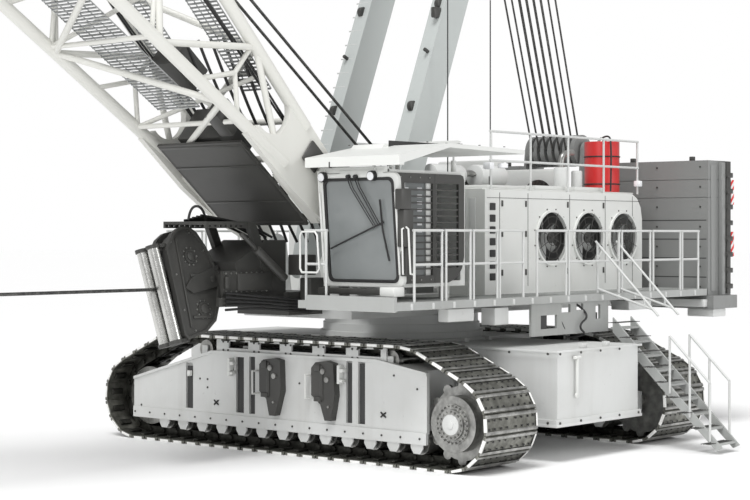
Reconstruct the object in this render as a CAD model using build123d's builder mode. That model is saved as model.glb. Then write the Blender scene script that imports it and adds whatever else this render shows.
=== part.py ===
"""Dragline excavator on crawlers, as separate named pieces in one frame.

Millimetres. +X is forward for the upper works and the boom, +Y is the operator's side, +Z is up.
The origin is on the ground under the slewing axis. The crawlers stand across the boom, so their
long sides run along Y.
"""
from math import asin, atan2, cos, degrees, hypot, pi, radians, sin
import os

from build123d import *

os.makedirs("parts", exist_ok=True)

# Crawlers: distances along X are across a crawler, along Y its length
GAUGE = 5380
SHOE_WIDTH = 1400
SHOE_THICKNESS = 60
SHOE_GAP = 26
SHOE_COUNT = 56
CHAIN_WIDTH = 520
CHAIN_DEPTH = 150
END_WHEEL_SPAN = 7600
END_RADIUS = 780
TRACK_TOP = 2020
TOP_RUN_HALF = 2850
TOP_BEND_RADIUS = 500
FRAME_WIDTH = 1000
FRAME_BOTTOM = 600
FRAME_TOP_GAP = 60
FRAME_TOP = TRACK_TOP - SHOE_THICKNESS - CHAIN_DEPTH - FRAME_TOP_GAP
PANEL_THICKNESS = 70
SKIRT_BOTTOM = 390
SKIRT_THICKNESS = 40
TRIM_PROUD = 25
ROLLER_COUNT = 13
ROLLER_RADIUS = 185
ROLLER_PITCH = 509
FIRST_ROLLER = -3120
CARRIER_PLACES = (-2100, 2350)
CARRIER_HEIGHT = TRACK_TOP - 280
CARRIER_RADIUS = 60
CARRIER_RIM = 170
RUNNING_GAP = 6
AXLE_RADIUS = 110
SPROCKET_ARMS = (266, 330)
LOBE_COUNT = 12
LOBE_CIRCLE = 605
LOBE_RADIUS = 85
HUB_STEPS = ((460, 570), (330, 600), (250, 640))
GUIDE_WINDOWS = tuple(-1440 + 780 * k for k in range(5))

# Car body, its end ballast and the slewing ring
CARBODY_HALF_LENGTH = 1600
CARBODY_BOTTOM = 700
CARBODY_TOP = 1950
CARBODY_GAP_TO_SHOES = 45
BALLAST_HALF_WIDTH = 1250
BALLAST_FACE = 4440
BALLAST_BOTTOM = 670
BALLAST_TOP = 1900
RING_RADIUS = 1480
RING_BORE = 1150
RING_LOWER_HEIGHT = 150
RING_UPPER_HEIGHT = 170

# Upper works
DECK_TOP = 2760
DECK_PLATE = 60
LUG_THICKNESS = 50
FRAME_REAR = -5350
FRAME_FRONT = 2900
BOOM_HALF_WIDTH = 1250
GIRDER_OUTER = BOOM_HALF_WIDTH + 50
GIRDER_INNER = 560
WALKWAY_EDGE = 3480
PLATFORM_FRONT = 4350
HOUSE_FRONT = 560
HOUSE_REAR = -4660
HOUSE_SIDE = 2400
HOUSE_INNER = GIRDER_OUTER + 20
HOUSE_BOTTOM = 2900
HOUSE_TOP = 4650
HOUSE_WALL = 40
FAN_CENTRES = (-1500, -2720, -3940)
FAN_HEIGHT = 3780
FAN_RADIUS = 480
RAIL_HEIGHT = 1150
RAIL_RADIUS = 22
RAIL_OVERRUN = 4

# Cab
CAB_REAR = 1920
CAB_FRONT = 3800
CAB_INNER = BOOM_HALF_WIDTH + 210
CAB_OUTER = 3000
CAB_BOTTOM = 2980
CAB_TOP = 4900
CAB_WALL = 70
CANOPY_FRONT = 4250
CANOPY_REAR = 870
CANOPY_OUTER = 3500
CANOPY_THICKNESS = 70

# Boom, mast and what hangs from them
BOOM_ANGLE = 39.75
BOOM_FOOT = (2200, 3600)
BOOM_LENGTH = 30000
BOOM_HALF_DEPTH = 1180
CHORD_RADIUS = 105
LACE_RADIUS = 55
FOOT_TAPER_END = 9200
MID_SECTION_END = 21000
HEAD_TAPER_END = 29200
MAST_FOOT = (1730, 3200)
MAST_HEAD = (-2600, 13800)
MAST_LEG_Y = 930
MAST_LEG_WIDTH = 320
MAST_LEG_DEPTH = 620

# Counterweight
WEIGHT_FRONT = -5400
WEIGHT_REAR = -6300
WEIGHT_HALF_WIDTH = 3480
WEIGHT_BOTTOM = 2620
WEIGHT_TOP = 5330
WEIGHT_BASE_BOTTOM = 2360
WEIGHT_JOINTS = (4580, 4940)

# Fairlead
FAIRLEAD_AXIS = 2950
FAIRLEAD_SWIVEL = 4900
FAIRLEAD_ROLL = 15
ROPE_RADIUS = 28

# Bucket: the drag rope runs level from the fairlead to its hitch
BUCKET_HITCH = (18800, 2950)
BUCKET_HALF_WIDTH = 1400
BUCKET_LENGTH = 3300
BUCKET_HEIGHT = 1650
BUCKET_WALL = 70
HOIST_TRAVEL = 9000
CHAIN_RADIUS = 45
CHAIN_Y = BUCKET_HALF_WIDTH + 120

STEEL_GAP = 6
STEEL_SEAT = 0.3


SEAM_TURN = Vector(1, 2, 3)


def save(piece, name):
    piece.part.label = name
    export_step(piece.part, f"parts/{name}.step")


def slab(x, y, z, mode=Mode.ADD):
    """A box from its lowest and highest X, Y and Z, in the current part."""
    middle = tuple((low + high) / 2 for low, high in (x, y, z))
    with Locations(middle):
        Box(x[1] - x[0], y[1] - y[0], z[1] - z[0], mode=mode)


def rod(start, end, radius, mode=Mode.ADD):
    """A round bar from one point to another, in the current part."""
    start, end = Vector(*start), Vector(*end)
    along = end - start
    with Locations(Plane(origin=start, z_dir=along)):
        Cylinder(radius, along.length, align=(Align.CENTER, Align.CENTER, Align.MIN), mode=mode)


def rods(bars, radius):
    """Many round bars fused in one step, in the current part."""
    cylinders = []
    for start, end in bars:
        start, end = Vector(*start), Vector(*end)
        along = end - start
        # A seam turned off the main axes keeps crossing bars from sharing a seam line
        place = Plane(origin=start, x_dir=along.cross(SEAM_TURN), z_dir=along)
        bar = Solid.make_cylinder(radius, along.length, place)
        cylinders.append(bar)
    add(cylinders)


# Track outline: straight runs and arcs, walked by length

def track_outline():
    """Corner list of the shoe surface: centre, radius, start angle and end angle of each arc."""
    wheel = END_WHEEL_SPAN / 2
    top_centre = TRACK_TOP - TOP_BEND_RADIUS
    across = wheel - TOP_RUN_HALF
    down = top_centre - END_RADIUS
    reach = hypot(across, down)
    lean = degrees(atan2(down, across)) + degrees(atan2(
        TOP_BEND_RADIUS - END_RADIUS, (reach ** 2 - (END_RADIUS - TOP_BEND_RADIUS) ** 2) ** 0.5))
    tangent = 90 - lean
    return [
        ((wheel, END_RADIUS), END_RADIUS, -90, tangent),
        ((TOP_RUN_HALF, top_centre), TOP_BEND_RADIUS, tangent, 90),
        ((-TOP_RUN_HALF, top_centre), TOP_BEND_RADIUS, 90, 180 - tangent),
        ((-wheel, END_RADIUS), END_RADIUS, 180 - tangent, 270),
    ]


def track_runs():
    """The closed outline as a list of (length, point function) pieces."""
    arcs = track_outline()
    runs = []
    for index, (centre, radius, start, end) in enumerate(arcs):
        def on_arc(s, depth, centre=centre, radius=radius, start=start):
            angle = radians(start) + s / radius
            rim = radius - depth
            return centre[0] + rim * cos(angle), centre[1] + rim * sin(angle)

        runs.append((radius * radians(end - start), on_arc))
        following = arcs[(index + 1) % len(arcs)]
        a, b = radians(end), radians(following[2])
        p = (centre[0] + radius * cos(a), centre[1] + radius * sin(a))
        q = (following[0][0] + following[1] * cos(b), following[0][1] + following[1] * sin(b))
        length = hypot(q[0] - p[0], q[1] - p[1])

        def on_line(s, depth, p=p, q=q, length=length, angle=a):
            t = s / length
            y = p[0] + (q[0] - p[0]) * t - depth * cos(angle)
            return y, p[1] + (q[1] - p[1]) * t - depth * sin(angle)

        runs.append((length, on_line))
    return runs


TRACK_RUNS = track_runs()
TRACK_LENGTH = sum(length for length, _ in TRACK_RUNS)
SHOE_PITCH = TRACK_LENGTH / SHOE_COUNT


def track_point(s, depth):
    """Y and Z at a length along the outline and a depth under the shoe surface."""
    s %= TRACK_LENGTH
    for length, place in TRACK_RUNS:
        if s <= length:
            return place(s, depth)
        s -= length
    return TRACK_RUNS[0][1](0, depth)


def ring_section(x_middle, width, outer, inner):
    """A closed band between two outlines in the YZ plane, in the current part."""
    with BuildSketch(Plane.YZ.offset(x_middle - width / 2)) as section:
        with BuildLine():
            Polyline(*outer, close=True)
        make_face()
        with BuildLine():
            Polyline(*inner, close=True)
        make_face(mode=Mode.SUBTRACT)
    extrude(section.sketch, amount=width)


def make_track(x_middle):
    grouser, hinge, chain = [], [], []
    for shoe in range(SHOE_COUNT):
        start = shoe * SHOE_PITCH
        for s, depth in (
            (start + SHOE_GAP / 2, SHOE_THICKNESS * 0.75),
            (start + SHOE_GAP / 2, 0),
            (start + SHOE_PITCH - SHOE_GAP / 2, 0),
            (start + SHOE_PITCH - SHOE_GAP / 2, SHOE_THICKNESS * 0.75),
        ):
            grouser.append(track_point(s, depth))
        hinge.append(track_point(start, SHOE_THICKNESS))
        chain.append(track_point(start, SHOE_THICKNESS + CHAIN_DEPTH))
    with BuildPart() as track:
        ring_section(x_middle, SHOE_WIDTH, grouser, hinge)
        ring_section(x_middle, CHAIN_WIDTH, hinge, chain)
    return track


CHAIN_INNER = SHOE_THICKNESS + CHAIN_DEPTH


def side_slab(x_middle, side, reach, y, z, mode=Mode.ADD):
    """A box between two distances from a crawler's middle, on one side of it."""
    slab(sorted(x_middle + side * x for x in reach), y, z, mode=mode)


def side_polygon(x_middle, side, reach, corners):
    """A plate of YZ corners between two distances from a crawler's middle, on one side."""
    near, far = sorted(x_middle + side * x for x in reach)
    with BuildSketch(Plane.YZ.offset(near)) as section:
        with BuildLine():
            Polyline(*corners, close=True)
        make_face()
    extrude(section.sketch, amount=far - near)


def make_crawler_frame(x_middle, outer_side):
    """Side frame: a core between two panels that fork round the idler, with trim and hangers."""
    wheel = END_WHEEL_SPAN / 2
    half = FRAME_WIDTH / 2
    inside = half - PANEL_THICKNESS
    idler_end = -wheel - 160
    drive_end = wheel - 600
    panel_top = [(idler_end, 1150), (-1840, FRAME_TOP - 20), (2120, FRAME_TOP),
                 (drive_end, FRAME_TOP - 170)]
    with BuildPart() as frame:
        core_start, core_end = 570 - wheel, wheel - 720
        core = [(core_start, FRAME_BOTTOM), (core_end, FRAME_BOTTOM), (core_end, FRAME_TOP - 150),
                (2120, FRAME_TOP), (-1840, FRAME_TOP - 20), (core_start, 1358)]
        side_polygon(x_middle, 1, (-inside, inside), core)
        for y in CARRIER_PLACES:
            slab((x_middle - inside, x_middle + inside), (y - 230, y + 230),
                 (CARRIER_HEIGHT - 240, TRACK_TOP), mode=Mode.SUBTRACT)
        for side in (-1, 1):
            panel = [(idler_end, SKIRT_BOTTOM + 180), *panel_top, (drive_end, SKIRT_BOTTOM + 180)]
            side_polygon(x_middle, side, (inside, half), panel)
            for y, z in (((-2530, -2340), (640, 1480)), ((-1220, -1020), (640, 1640)),
                         ((-890, -740), (640, 1660)), ((1430, 1570), (640, 1690)),
                         ((1700, 1860), (640, 1690))):
                side_slab(x_middle, side, (inside, half + 10), y, z, mode=Mode.SUBTRACT)
            trim = panel_top + [(y, z - 50) for y, z in reversed(panel_top)]
            side_polygon(x_middle, side, (half - 10, half + TRIM_PROUD), trim)
            side_slab(x_middle, side, (half - SKIRT_THICKNESS, half + TRIM_PROUD),
                      (idler_end, drive_end), (SKIRT_BOTTOM, SKIRT_BOTTOM + 200))
            for index in range(ROLLER_COUNT):
                y = FIRST_ROLLER + index * ROLLER_PITCH
                hanger = [(y - 130, 410), (y + 130, 410), (y + 130, 330), (y + 70, 235),
                          (y - 70, 235), (y - 130, 330)]
                side_polygon(x_middle, side, (half - 30, half), hanger)
            side_slab(x_middle, side, (inside, inside + 40), (-1750, 2300),
                      (FRAME_TOP - 40, TRACK_TOP - SHOE_THICKNESS - 15))
            for y in GUIDE_WINDOWS:
                side_slab(x_middle, side, (inside - 10, inside + 50), (y, y + 500),
                          (FRAME_TOP + 40, FRAME_TOP + 160), mode=Mode.SUBTRACT)
            for y in CARRIER_PLACES:
                side_slab(x_middle, side, (inside - 24, inside), (y - 70, y + 70),
                          (CARRIER_HEIGHT - 260, CARRIER_HEIGHT + 70))
        side_slab(x_middle, -outer_side, (inside, half), (core_end - 100, wheel + 100),
                  (END_RADIUS - 170, END_RADIUS + 170))
    return frame


def make_track_wheels(x_middle, outer_side):
    """Drive sprocket at +Y, idler at -Y, the row of rollers and the carriers of the upper run."""
    wheel = END_WHEEL_SPAN / 2
    half_step = SHOE_PITCH / END_RADIUS / 2
    rim = (END_RADIUS - CHAIN_INNER) * cos(half_step) - RUNNING_GAP
    roller_height = CHAIN_INNER + STEEL_SEAT + ROLLER_RADIUS
    skirt = FRAME_WIDTH / 2 - SKIRT_THICKNESS - STEEL_SEAT
    inside = FRAME_WIDTH / 2 - PANEL_THICKNESS - STEEL_SEAT

    def wheel_rod(y, z, near, far, radius):
        rod((x_middle + near, y, z), (x_middle + far, y, z), radius)

    with BuildPart() as wheels:
        wheel_rod(-wheel, END_RADIUS, -230, 230, rim)
        wheel_rod(-wheel, END_RADIUS, -inside, inside, AXLE_RADIUS)
        wheel_rod(wheel, END_RADIUS, -230, 230, rim)
        wheel_rod(wheel, END_RADIUS, -SPROCKET_ARMS[1], SPROCKET_ARMS[1], rim - 60)
        wheel_rod(wheel, END_RADIUS, 0, -outer_side * inside, AXLE_RADIUS)
        for side in (-1, 1):
            near = min(x_middle + side * arm for arm in SPROCKET_ARMS)
            with BuildSketch(Plane.YZ.offset(near)) as star:
                with Locations((wheel, END_RADIUS)):
                    Circle(LOBE_CIRCLE)
                    with PolarLocations(LOBE_CIRCLE, LOBE_COUNT):
                        Circle(LOBE_RADIUS)
            extrude(star.sketch, amount=SPROCKET_ARMS[1] - SPROCKET_ARMS[0])
        for radius, reach in HUB_STEPS:
            wheel_rod(wheel, END_RADIUS, outer_side * (SPROCKET_ARMS[1] - 20), outer_side * reach,
                      radius)
        for index in range(ROLLER_COUNT):
            y = FIRST_ROLLER + index * ROLLER_PITCH
            wheel_rod(y, roller_height, -400, 400, ROLLER_RADIUS)
            wheel_rod(y, roller_height, -skirt, skirt, 60)
        for y in CARRIER_PLACES:
            axle = FRAME_WIDTH / 2 - PANEL_THICKNESS - 24 - STEEL_SEAT
            wheel_rod(y, CARRIER_HEIGHT, -axle, axle, CARRIER_RADIUS)
            wheel_rod(y, CARRIER_HEIGHT, -390, -275, CARRIER_RIM)
            wheel_rod(y, CARRIER_HEIGHT, 275, 390, CARRIER_RIM)
    return wheels


def mirrored(piece):
    """The same piece on the other side of the YZ plane."""
    with BuildPart() as copy:
        add(mirror(piece.part, about=Plane.YZ))
    return copy


front = GAUGE / 2
for name, piece in (("track", make_track(front)), ("crawler_frame", make_crawler_frame(front, 1)),
                    ("track_wheels", make_track_wheels(front, 1))):
    save(piece, f"{name}_front")
    save(mirrored(piece), f"{name}_rear")

# Brackets on the outer panels of both crawlers
BRACKETS = (
    ((-500, 1080), (-500, 1550), (-400, 1640), (-150, 1670), (0, 1640), (20, 1100), (-120, 660),
     (-260, 660), (-330, 950)),
    ((750, 1080), (750, 1550), (850, 1650), (1080, 1680), (1250, 1640), (1290, 1100), (1200, 660),
     (1060, 660), (960, 930)),
)
BRACKET_PROUD = 140
with BuildPart() as brackets:
    for side in (-1, 1):
        for corners in BRACKETS:
            side_polygon(side * GAUGE / 2, side, (FRAME_WIDTH / 2, FRAME_WIDTH / 2 + BRACKET_PROUD),
                         corners)
save(brackets, "crawler_brackets")

# Car body
SHOE_INNER = GAUGE / 2 - SHOE_WIDTH / 2
with BuildPart() as carbody:
    body_half = SHOE_INNER - CARBODY_GAP_TO_SHOES
    beam_half = GAUGE / 2 - FRAME_WIDTH / 2
    slab((-body_half, body_half), (-CARBODY_HALF_LENGTH, CARBODY_HALF_LENGTH),
         (CARBODY_BOTTOM, CARBODY_TOP))
    for end in (-1, 1):
        y = sorted((end * 500, end * 1400))
        slab((-beam_half, beam_half), y, (CARBODY_BOTTOM + 60, CARBODY_TOP - 380))
    rod((0, 0, CARBODY_TOP), (0, 0, CARBODY_TOP + 110), RING_RADIUS + 60)
save(carbody, "carbody")

RING_BOTTOM = CARBODY_TOP + 110
RING_SPLIT = RING_BOTTOM + RING_LOWER_HEIGHT
UPPER_BOTTOM = RING_SPLIT + STEEL_SEAT + RING_UPPER_HEIGHT

with BuildPart() as ring_lower:
    rod((0, 0, RING_BOTTOM), (0, 0, RING_SPLIT), RING_RADIUS)
    rod((0, 0, RING_BOTTOM), (0, 0, RING_SPLIT), RING_BORE, mode=Mode.SUBTRACT)
save(ring_lower, "slew_ring_lower")

with BuildPart() as ring_upper:
    rod((0, 0, RING_SPLIT + STEEL_SEAT), (0, 0, UPPER_BOTTOM), RING_RADIUS - 30)
    rod((0, 0, RING_SPLIT + STEEL_SEAT), (0, 0, UPPER_BOTTOM), RING_BORE, mode=Mode.SUBTRACT)
save(ring_upper, "slew_ring_upper")

for name, end in (("left", 1), ("right", -1)):
    with BuildPart() as ballast:
        y = sorted((end * CARBODY_HALF_LENGTH, end * BALLAST_FACE))
        slab((-BALLAST_HALF_WIDTH, BALLAST_HALF_WIDTH), y, (BALLAST_BOTTOM, BALLAST_TOP))
        lip = sorted((end * (CARBODY_HALF_LENGTH + 300), end * (BALLAST_FACE + 30)))
        slab((-BALLAST_HALF_WIDTH - 70, BALLAST_HALF_WIDTH + 70), lip,
             (BALLAST_BOTTOM - 60, BALLAST_BOTTOM + 60))
    save(ballast, f"carbody_ballast_{name}")

# Stair and its lower handrails stand on the car body's ballast, clear of the slewing upper works
STAIR_NEAR = -1600
STAIR_FAR = -2200
STAIR_TOP = (3700, 2330)
STAIR_FOOT = (5950, 120)
STRINGER_DEPTH = 190
STRINGER_THICKNESS = 40
TREAD_COUNT = 9
stair_lean = atan2(STAIR_TOP[1] - STAIR_FOOT[1], STAIR_FOOT[0] - STAIR_TOP[0])
with BuildPart() as stair:
    for x in (STAIR_NEAR, STAIR_FAR):
        with BuildSketch(Plane.YZ.offset(x - STRINGER_THICKNESS / 2)):
            with BuildLine():
                rise = STRINGER_DEPTH / cos(stair_lean)
                Polyline(STAIR_TOP, STAIR_FOOT, (STAIR_FOOT[0] - 120, STAIR_FOOT[1] - 80 + 20),
                         (STAIR_TOP[0], STAIR_TOP[1] - rise), close=True)
            make_face()
        extrude(amount=STRINGER_THICKNESS)
    for index in range(TREAD_COUNT):
        t = (index + 0.5) / TREAD_COUNT
        y = STAIR_TOP[0] + (STAIR_FOOT[0] - STAIR_TOP[0]) * t
        z = STAIR_TOP[1] + (STAIR_FOOT[1] - STAIR_TOP[1]) * t
        slab((STAIR_FAR, STAIR_NEAR), (y - 180, y + 60), (z - 90, z - 55))
    slab((STAIR_NEAR, -BALLAST_HALF_WIDTH), (4000, 4120), (1740, 1860))
save(stair, "access_stair")

HANDRAIL_RISE = 900


def stair_point(t, rise=0):
    y = STAIR_TOP[0] + (STAIR_FOOT[0] - STAIR_TOP[0]) * t
    return y, STAIR_TOP[1] + (STAIR_FOOT[1] - STAIR_TOP[1]) * t + rise


RAIL_START, RAIL_END = 0.54, 0.9
with BuildPart() as stair_rails:
    bars = []
    reach = STRINGER_THICKNESS / 2 + RAIL_RADIUS + STEEL_SEAT
    for x in (STAIR_NEAR + reach, STAIR_FAR - reach):
        bars.append(((x, *stair_point(RAIL_START, HANDRAIL_RISE)),
                     (x, *stair_point(RAIL_END, HANDRAIL_RISE))))
        for t in (RAIL_START, (RAIL_START + RAIL_END) / 2, RAIL_END):
            bars.append(((x, *stair_point(t, -120)), (x, *stair_point(t, HANDRAIL_RISE))))
    rods(bars, RAIL_RADIUS)
save(stair_rails, "stair_handrail_lower")

# Upper frame: two box girders, cross plates and the deck
with BuildPart() as upper_frame:
    for side in (-1, 1):
        y = sorted((side * GIRDER_INNER, side * GIRDER_OUTER))
        slab((FRAME_REAR, FRAME_FRONT), y, (UPPER_BOTTOM, DECK_TOP))
    slab((-RING_RADIUS, RING_RADIUS), (-GIRDER_OUTER, GIRDER_OUTER), (UPPER_BOTTOM, DECK_TOP))
    slab((FRAME_REAR, FRAME_REAR + 500), (-GIRDER_OUTER, GIRDER_OUTER), (UPPER_BOTTOM, DECK_TOP))
    slab((FRAME_FRONT - 400, FRAME_FRONT), (-GIRDER_OUTER, GIRDER_OUTER), (UPPER_BOTTOM, DECK_TOP))
    rod((0, 0, UPPER_BOTTOM), (0, 0, DECK_TOP), RING_BORE - 200, mode=Mode.SUBTRACT)
    for side in (-1, 1):
        # Twin lugs of the boom foot and of the mast foot
        for y_middle, (x, z), reach in (
            (side * (BOOM_HALF_WIDTH - 60 - STEEL_SEAT - LUG_THICKNESS / 2), BOOM_FOOT, 260),
            (side * (MAST_LEG_Y - MAST_LEG_WIDTH / 2 - STEEL_SEAT - LUG_THICKNESS / 2), MAST_FOOT, 230),
        ):
            with BuildSketch(Plane.XZ.offset(-y_middle - LUG_THICKNESS / 2)):
                with BuildLine():
                    Polyline((x - 1.5 * reach, DECK_TOP - 10), (x + 1.5 * reach, DECK_TOP - 10),
                             (x + reach, z), (x - reach, z), close=True)
                make_face()
                with Locations((x, z)):
                    Circle(reach)
            extrude(amount=LUG_THICKNESS)
save(upper_frame, "upper_frame")

# Walkways and the platform in front of the cab
WALK_BOTTOM = DECK_TOP - 130
BRACKET_SPAN = (-1850, 580)
BRACKET_Y = (WALKWAY_EDGE - 100, WALKWAY_EDGE - 50)
BRACKET_BOTTOM = 2060
BRACKET_WINDOWS = (
    ((-620, -340), (2450, 2600)), ((-1030, -810), (2480, 2600)), ((-1590, -1430), (2300, 2560)),
    ((-200, 300), (2180, 2420)),
)
with BuildPart() as walkway_left:
    slab((FRAME_REAR, HOUSE_FRONT + 1300), (GIRDER_OUTER, WALKWAY_EDGE), (WALK_BOTTOM, DECK_TOP))
    slab((HOUSE_FRONT + 1300, PLATFORM_FRONT), (GIRDER_OUTER + 100, WALKWAY_EDGE),
         (WALK_BOTTOM, DECK_TOP))
    slab((PLATFORM_FRONT - 60, PLATFORM_FRONT), (CAB_INNER + 120, WALKWAY_EDGE),
         (WALK_BOTTOM - 20, DECK_TOP + 90))
    # Bracket plate that hangs under the outer edge, short enough to pass over the crawlers
    slab(BRACKET_SPAN, BRACKET_Y, (BRACKET_BOTTOM, WALK_BOTTOM + 10))
    for x, z in BRACKET_WINDOWS:
        slab(x, (BRACKET_Y[0] - 10, BRACKET_Y[1] + 10), z, mode=Mode.SUBTRACT)
save(walkway_left, "walkway_left")
with BuildPart() as walkway_right:
    slab((FRAME_REAR, FRAME_FRONT), (-WALKWAY_EDGE, -GIRDER_OUTER), (WALK_BOTTOM, DECK_TOP))
save(walkway_right, "walkway_right")

# Railing: a row of closed hoops on the walkway's outer edge
LEFT_HOOPS = (
    (3820, 3110), (3000, 2350), (2260, 1600), (1530, 850), (440, -450), (-540, -2180),
    (-2280, -3270), (-3380, -4370), (-4450, -5060),
)
RIGHT_HOOPS = tuple((x, x - 900) for x in range(2800, -4300, -1000))


def hoop_bars(start, end, floor):
    """Two posts, a top bar and a knee bar between two XY points."""
    (x0, y0), (x1, y1) = start, end
    top = floor + RAIL_HEIGHT
    knee = floor + RAIL_HEIGHT * 0.52
    length = hypot(x1 - x0, y1 - y0)
    over = (RAIL_RADIUS + RAIL_OVERRUN) / length
    over_x, over_y = over * (x1 - x0), over * (y1 - y0)
    return [
        ((x0, y0, floor), (x0, y0, top)), ((x1, y1, floor), (x1, y1, top)),
        ((x0 - over_x, y0 - over_y, top), (x1 + over_x, y1 + over_y, top)),
        ((x0, y0, knee), (x1, y1, knee)),
    ]


def railing(spans, floor, name, more=()):
    with BuildPart() as rail:
        bars = list(more)
        for start, end in spans:
            bars += hoop_bars(start, end, floor)
        rods(bars, RAIL_RADIUS)
    save(rail, name)


def roof_rail(side):
    """Posts and two long bars along the outer edge of a house roof."""
    y = side * (HOUSE_SIDE - 60)
    bars = [((x, y, HOUSE_TOP), (x, y, ROOF_RAIL_TOP)) for x in ROOF_POSTS]
    for z in (ROOF_RAIL_TOP, (HOUSE_TOP + ROOF_RAIL_TOP) / 2):
        bars.append(((ROOF_POSTS[0] + 30, y, z), (ROOF_POSTS[-1] - 30, y, z)))
    return bars


def stair_rail(x):
    """Handrail from the walkway's edge out over the top of the stair, with a bar under it."""
    top_in, top_out = (x, edge - 100, 3720), (x, 4680, 2330 + 60)
    low_in, low_out = (x, edge - 60, DECK_TOP + 90), (x, 4560, 2330 + 175)
    return [(top_in, top_out), (low_in, low_out), ((x, edge - 60, DECK_TOP), (x, edge - 60, 3684)),
            ((x, 4400, 2551), (x, 4400, 2671))]


ROOF_RAIL_TOP = HOUSE_TOP + 1050
ROOF_POSTS = (300, -920, -2140, -3360, -4580)
edge = WALKWAY_EDGE - 30
left_more = roof_rail(1) + stair_rail(STAIR_NEAR + 45) + stair_rail(STAIR_FAR - 45)
railing([((a, edge), (b, edge)) for a, b in LEFT_HOOPS]
        + [((PLATFORM_FRONT - 90, 1500), (PLATFORM_FRONT - 90, 1950))], DECK_TOP, "railing_left",
        left_more)
railing([((a, -edge), (b, -edge)) for a, b in RIGHT_HOOPS], DECK_TOP, "railing_right", roof_rail(-1))

# Machine houses: the left one holds the radiators behind three fans
ROOF_CORNER = ((370, 0), (180, 90), (50, 270), (0, 500))


def make_house(side, openings):
    with BuildPart() as house:
        y = sorted((side * HOUSE_INNER, side * HOUSE_SIDE))
        with BuildSketch(Plane.XZ.offset(-y[1])):
            with BuildLine():
                Polyline((HOUSE_REAR, DECK_TOP), (HOUSE_FRONT, DECK_TOP), (HOUSE_FRONT, HOUSE_TOP),
                         *[(HOUSE_REAR + x, HOUSE_TOP - z) for x, z in ROOF_CORNER], close=True)
            make_face()
        extrude(amount=y[1] - y[0])
        inner_y = sorted((side * (HOUSE_INNER + HOUSE_WALL), side * (HOUSE_SIDE - HOUSE_WALL)))
        with BuildSketch(Plane.XZ.offset(-inner_y[1])):
            with BuildLine():
                rear, roof = HOUSE_REAR + HOUSE_WALL, HOUSE_TOP - HOUSE_WALL
                Polyline((rear, DECK_TOP), (HOUSE_FRONT - HOUSE_WALL, DECK_TOP),
                         (HOUSE_FRONT - HOUSE_WALL, roof),
                         *[(rear + x, roof - z) for x, z in ROOF_CORNER], close=True)
            make_face()
        extrude(amount=inner_y[1] - inner_y[0], mode=Mode.SUBTRACT)
        for x in openings:
            face = side * HOUSE_SIDE
            rod((x, face - side * 10, FAN_HEIGHT), (x, face + side * 40, FAN_HEIGHT),
                FAN_RADIUS + 40)
        for x in openings:
            rod((x, side * (HOUSE_SIDE - 200), FAN_HEIGHT), (x, side * (HOUSE_SIDE + 50), FAN_HEIGHT),
                FAN_RADIUS, mode=Mode.SUBTRACT)
    return house


save(make_house(1, FAN_CENTRES), "machine_house_left")
save(make_house(-1, ()), "machine_house_right")

FAN_FACE = HOUSE_SIDE - 210
with BuildPart() as radiators:
    slab((HOUSE_REAR + 420, -850), (FAN_FACE - 500, FAN_FACE - 200), (DECK_TOP, HOUSE_TOP - 100))
    for x in FAN_CENTRES:
        rod((x, FAN_FACE - 200, FAN_HEIGHT), (x, FAN_FACE - 90, FAN_HEIGHT), 90)
save(radiators, "radiators")

for number, x in enumerate(FAN_CENTRES, start=1):
    with BuildPart() as fan:
        rod((x, FAN_FACE - 90 + 0.3, FAN_HEIGHT), (x, FAN_FACE + 60, FAN_HEIGHT), 120)
        for blade in range(6):
            angle = blade * 60
            with Locations(Location((x, FAN_FACE, FAN_HEIGHT), (0, angle, 0))):
                with Locations(Location((0, 0, 270), (0, 0, 30))):
                    Box(150, 14, 340)
    save(fan, f"radiator_fan_{number}")

with BuildPart() as engine:
    slab((-3900, -1100), (-HOUSE_SIDE + 150, -HOUSE_INNER - 100), (DECK_TOP, HOUSE_TOP - 350))
save(engine, "engine")

# Cab: shell with cut windows, glass, sliding door and a fixed guard beside it
GLASS = 14
DOOR_REAR = 2000
DOOR_FRONT = 2790
GUARD_FRONT = 3600
DOOR_THICKNESS = 50
WINDSHIELD_LEAN = 170
cab_side = ((CAB_REAR, CAB_BOTTOM), (CAB_FRONT - 20, CAB_BOTTOM),
            (CAB_FRONT - 20 + WINDSHIELD_LEAN, CAB_TOP), (CAB_REAR, CAB_TOP))
cab_inside = ((CAB_REAR + CAB_WALL, CAB_BOTTOM + CAB_WALL),
              (CAB_FRONT - 20 - CAB_WALL, CAB_BOTTOM + CAB_WALL),
              (CAB_FRONT - 20 - CAB_WALL + WINDSHIELD_LEAN, CAB_TOP - CAB_WALL),
              (CAB_REAR + CAB_WALL, CAB_TOP - CAB_WALL))
lean = atan2(WINDSHIELD_LEAN, CAB_TOP - CAB_BOTTOM)
CAB_MIDDLE = (CAB_INNER + CAB_OUTER) / 2
windshield = Plane(origin=(CAB_FRONT - 20 + WINDSHIELD_LEAN / 2, CAB_MIDDLE, (CAB_BOTTOM + CAB_TOP) / 2 - 20),
                   x_dir=(0, 1, 0), z_dir=(cos(lean), 0, -sin(lean)))
WINDSHIELD = (CAB_OUTER - CAB_INNER - 130, 1610)
SIDE_WINDOW = (CAB_BOTTOM + 170, CAB_TOP - 160)
PANE_REAR, PANE_FRONT = DOOR_FRONT + 170, GUARD_FRONT - 90


def cab_plate(corners, y_low, y_high, mode=Mode.ADD):
    """A plate of XZ corners between two heights along Y, in the current part."""
    with BuildSketch(Plane.XZ.offset(-y_high)) as section:
        with BuildLine():
            Polyline(*corners, close=True)
        make_face()
    extrude(section.sketch, amount=y_high - y_low, mode=mode)


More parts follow.
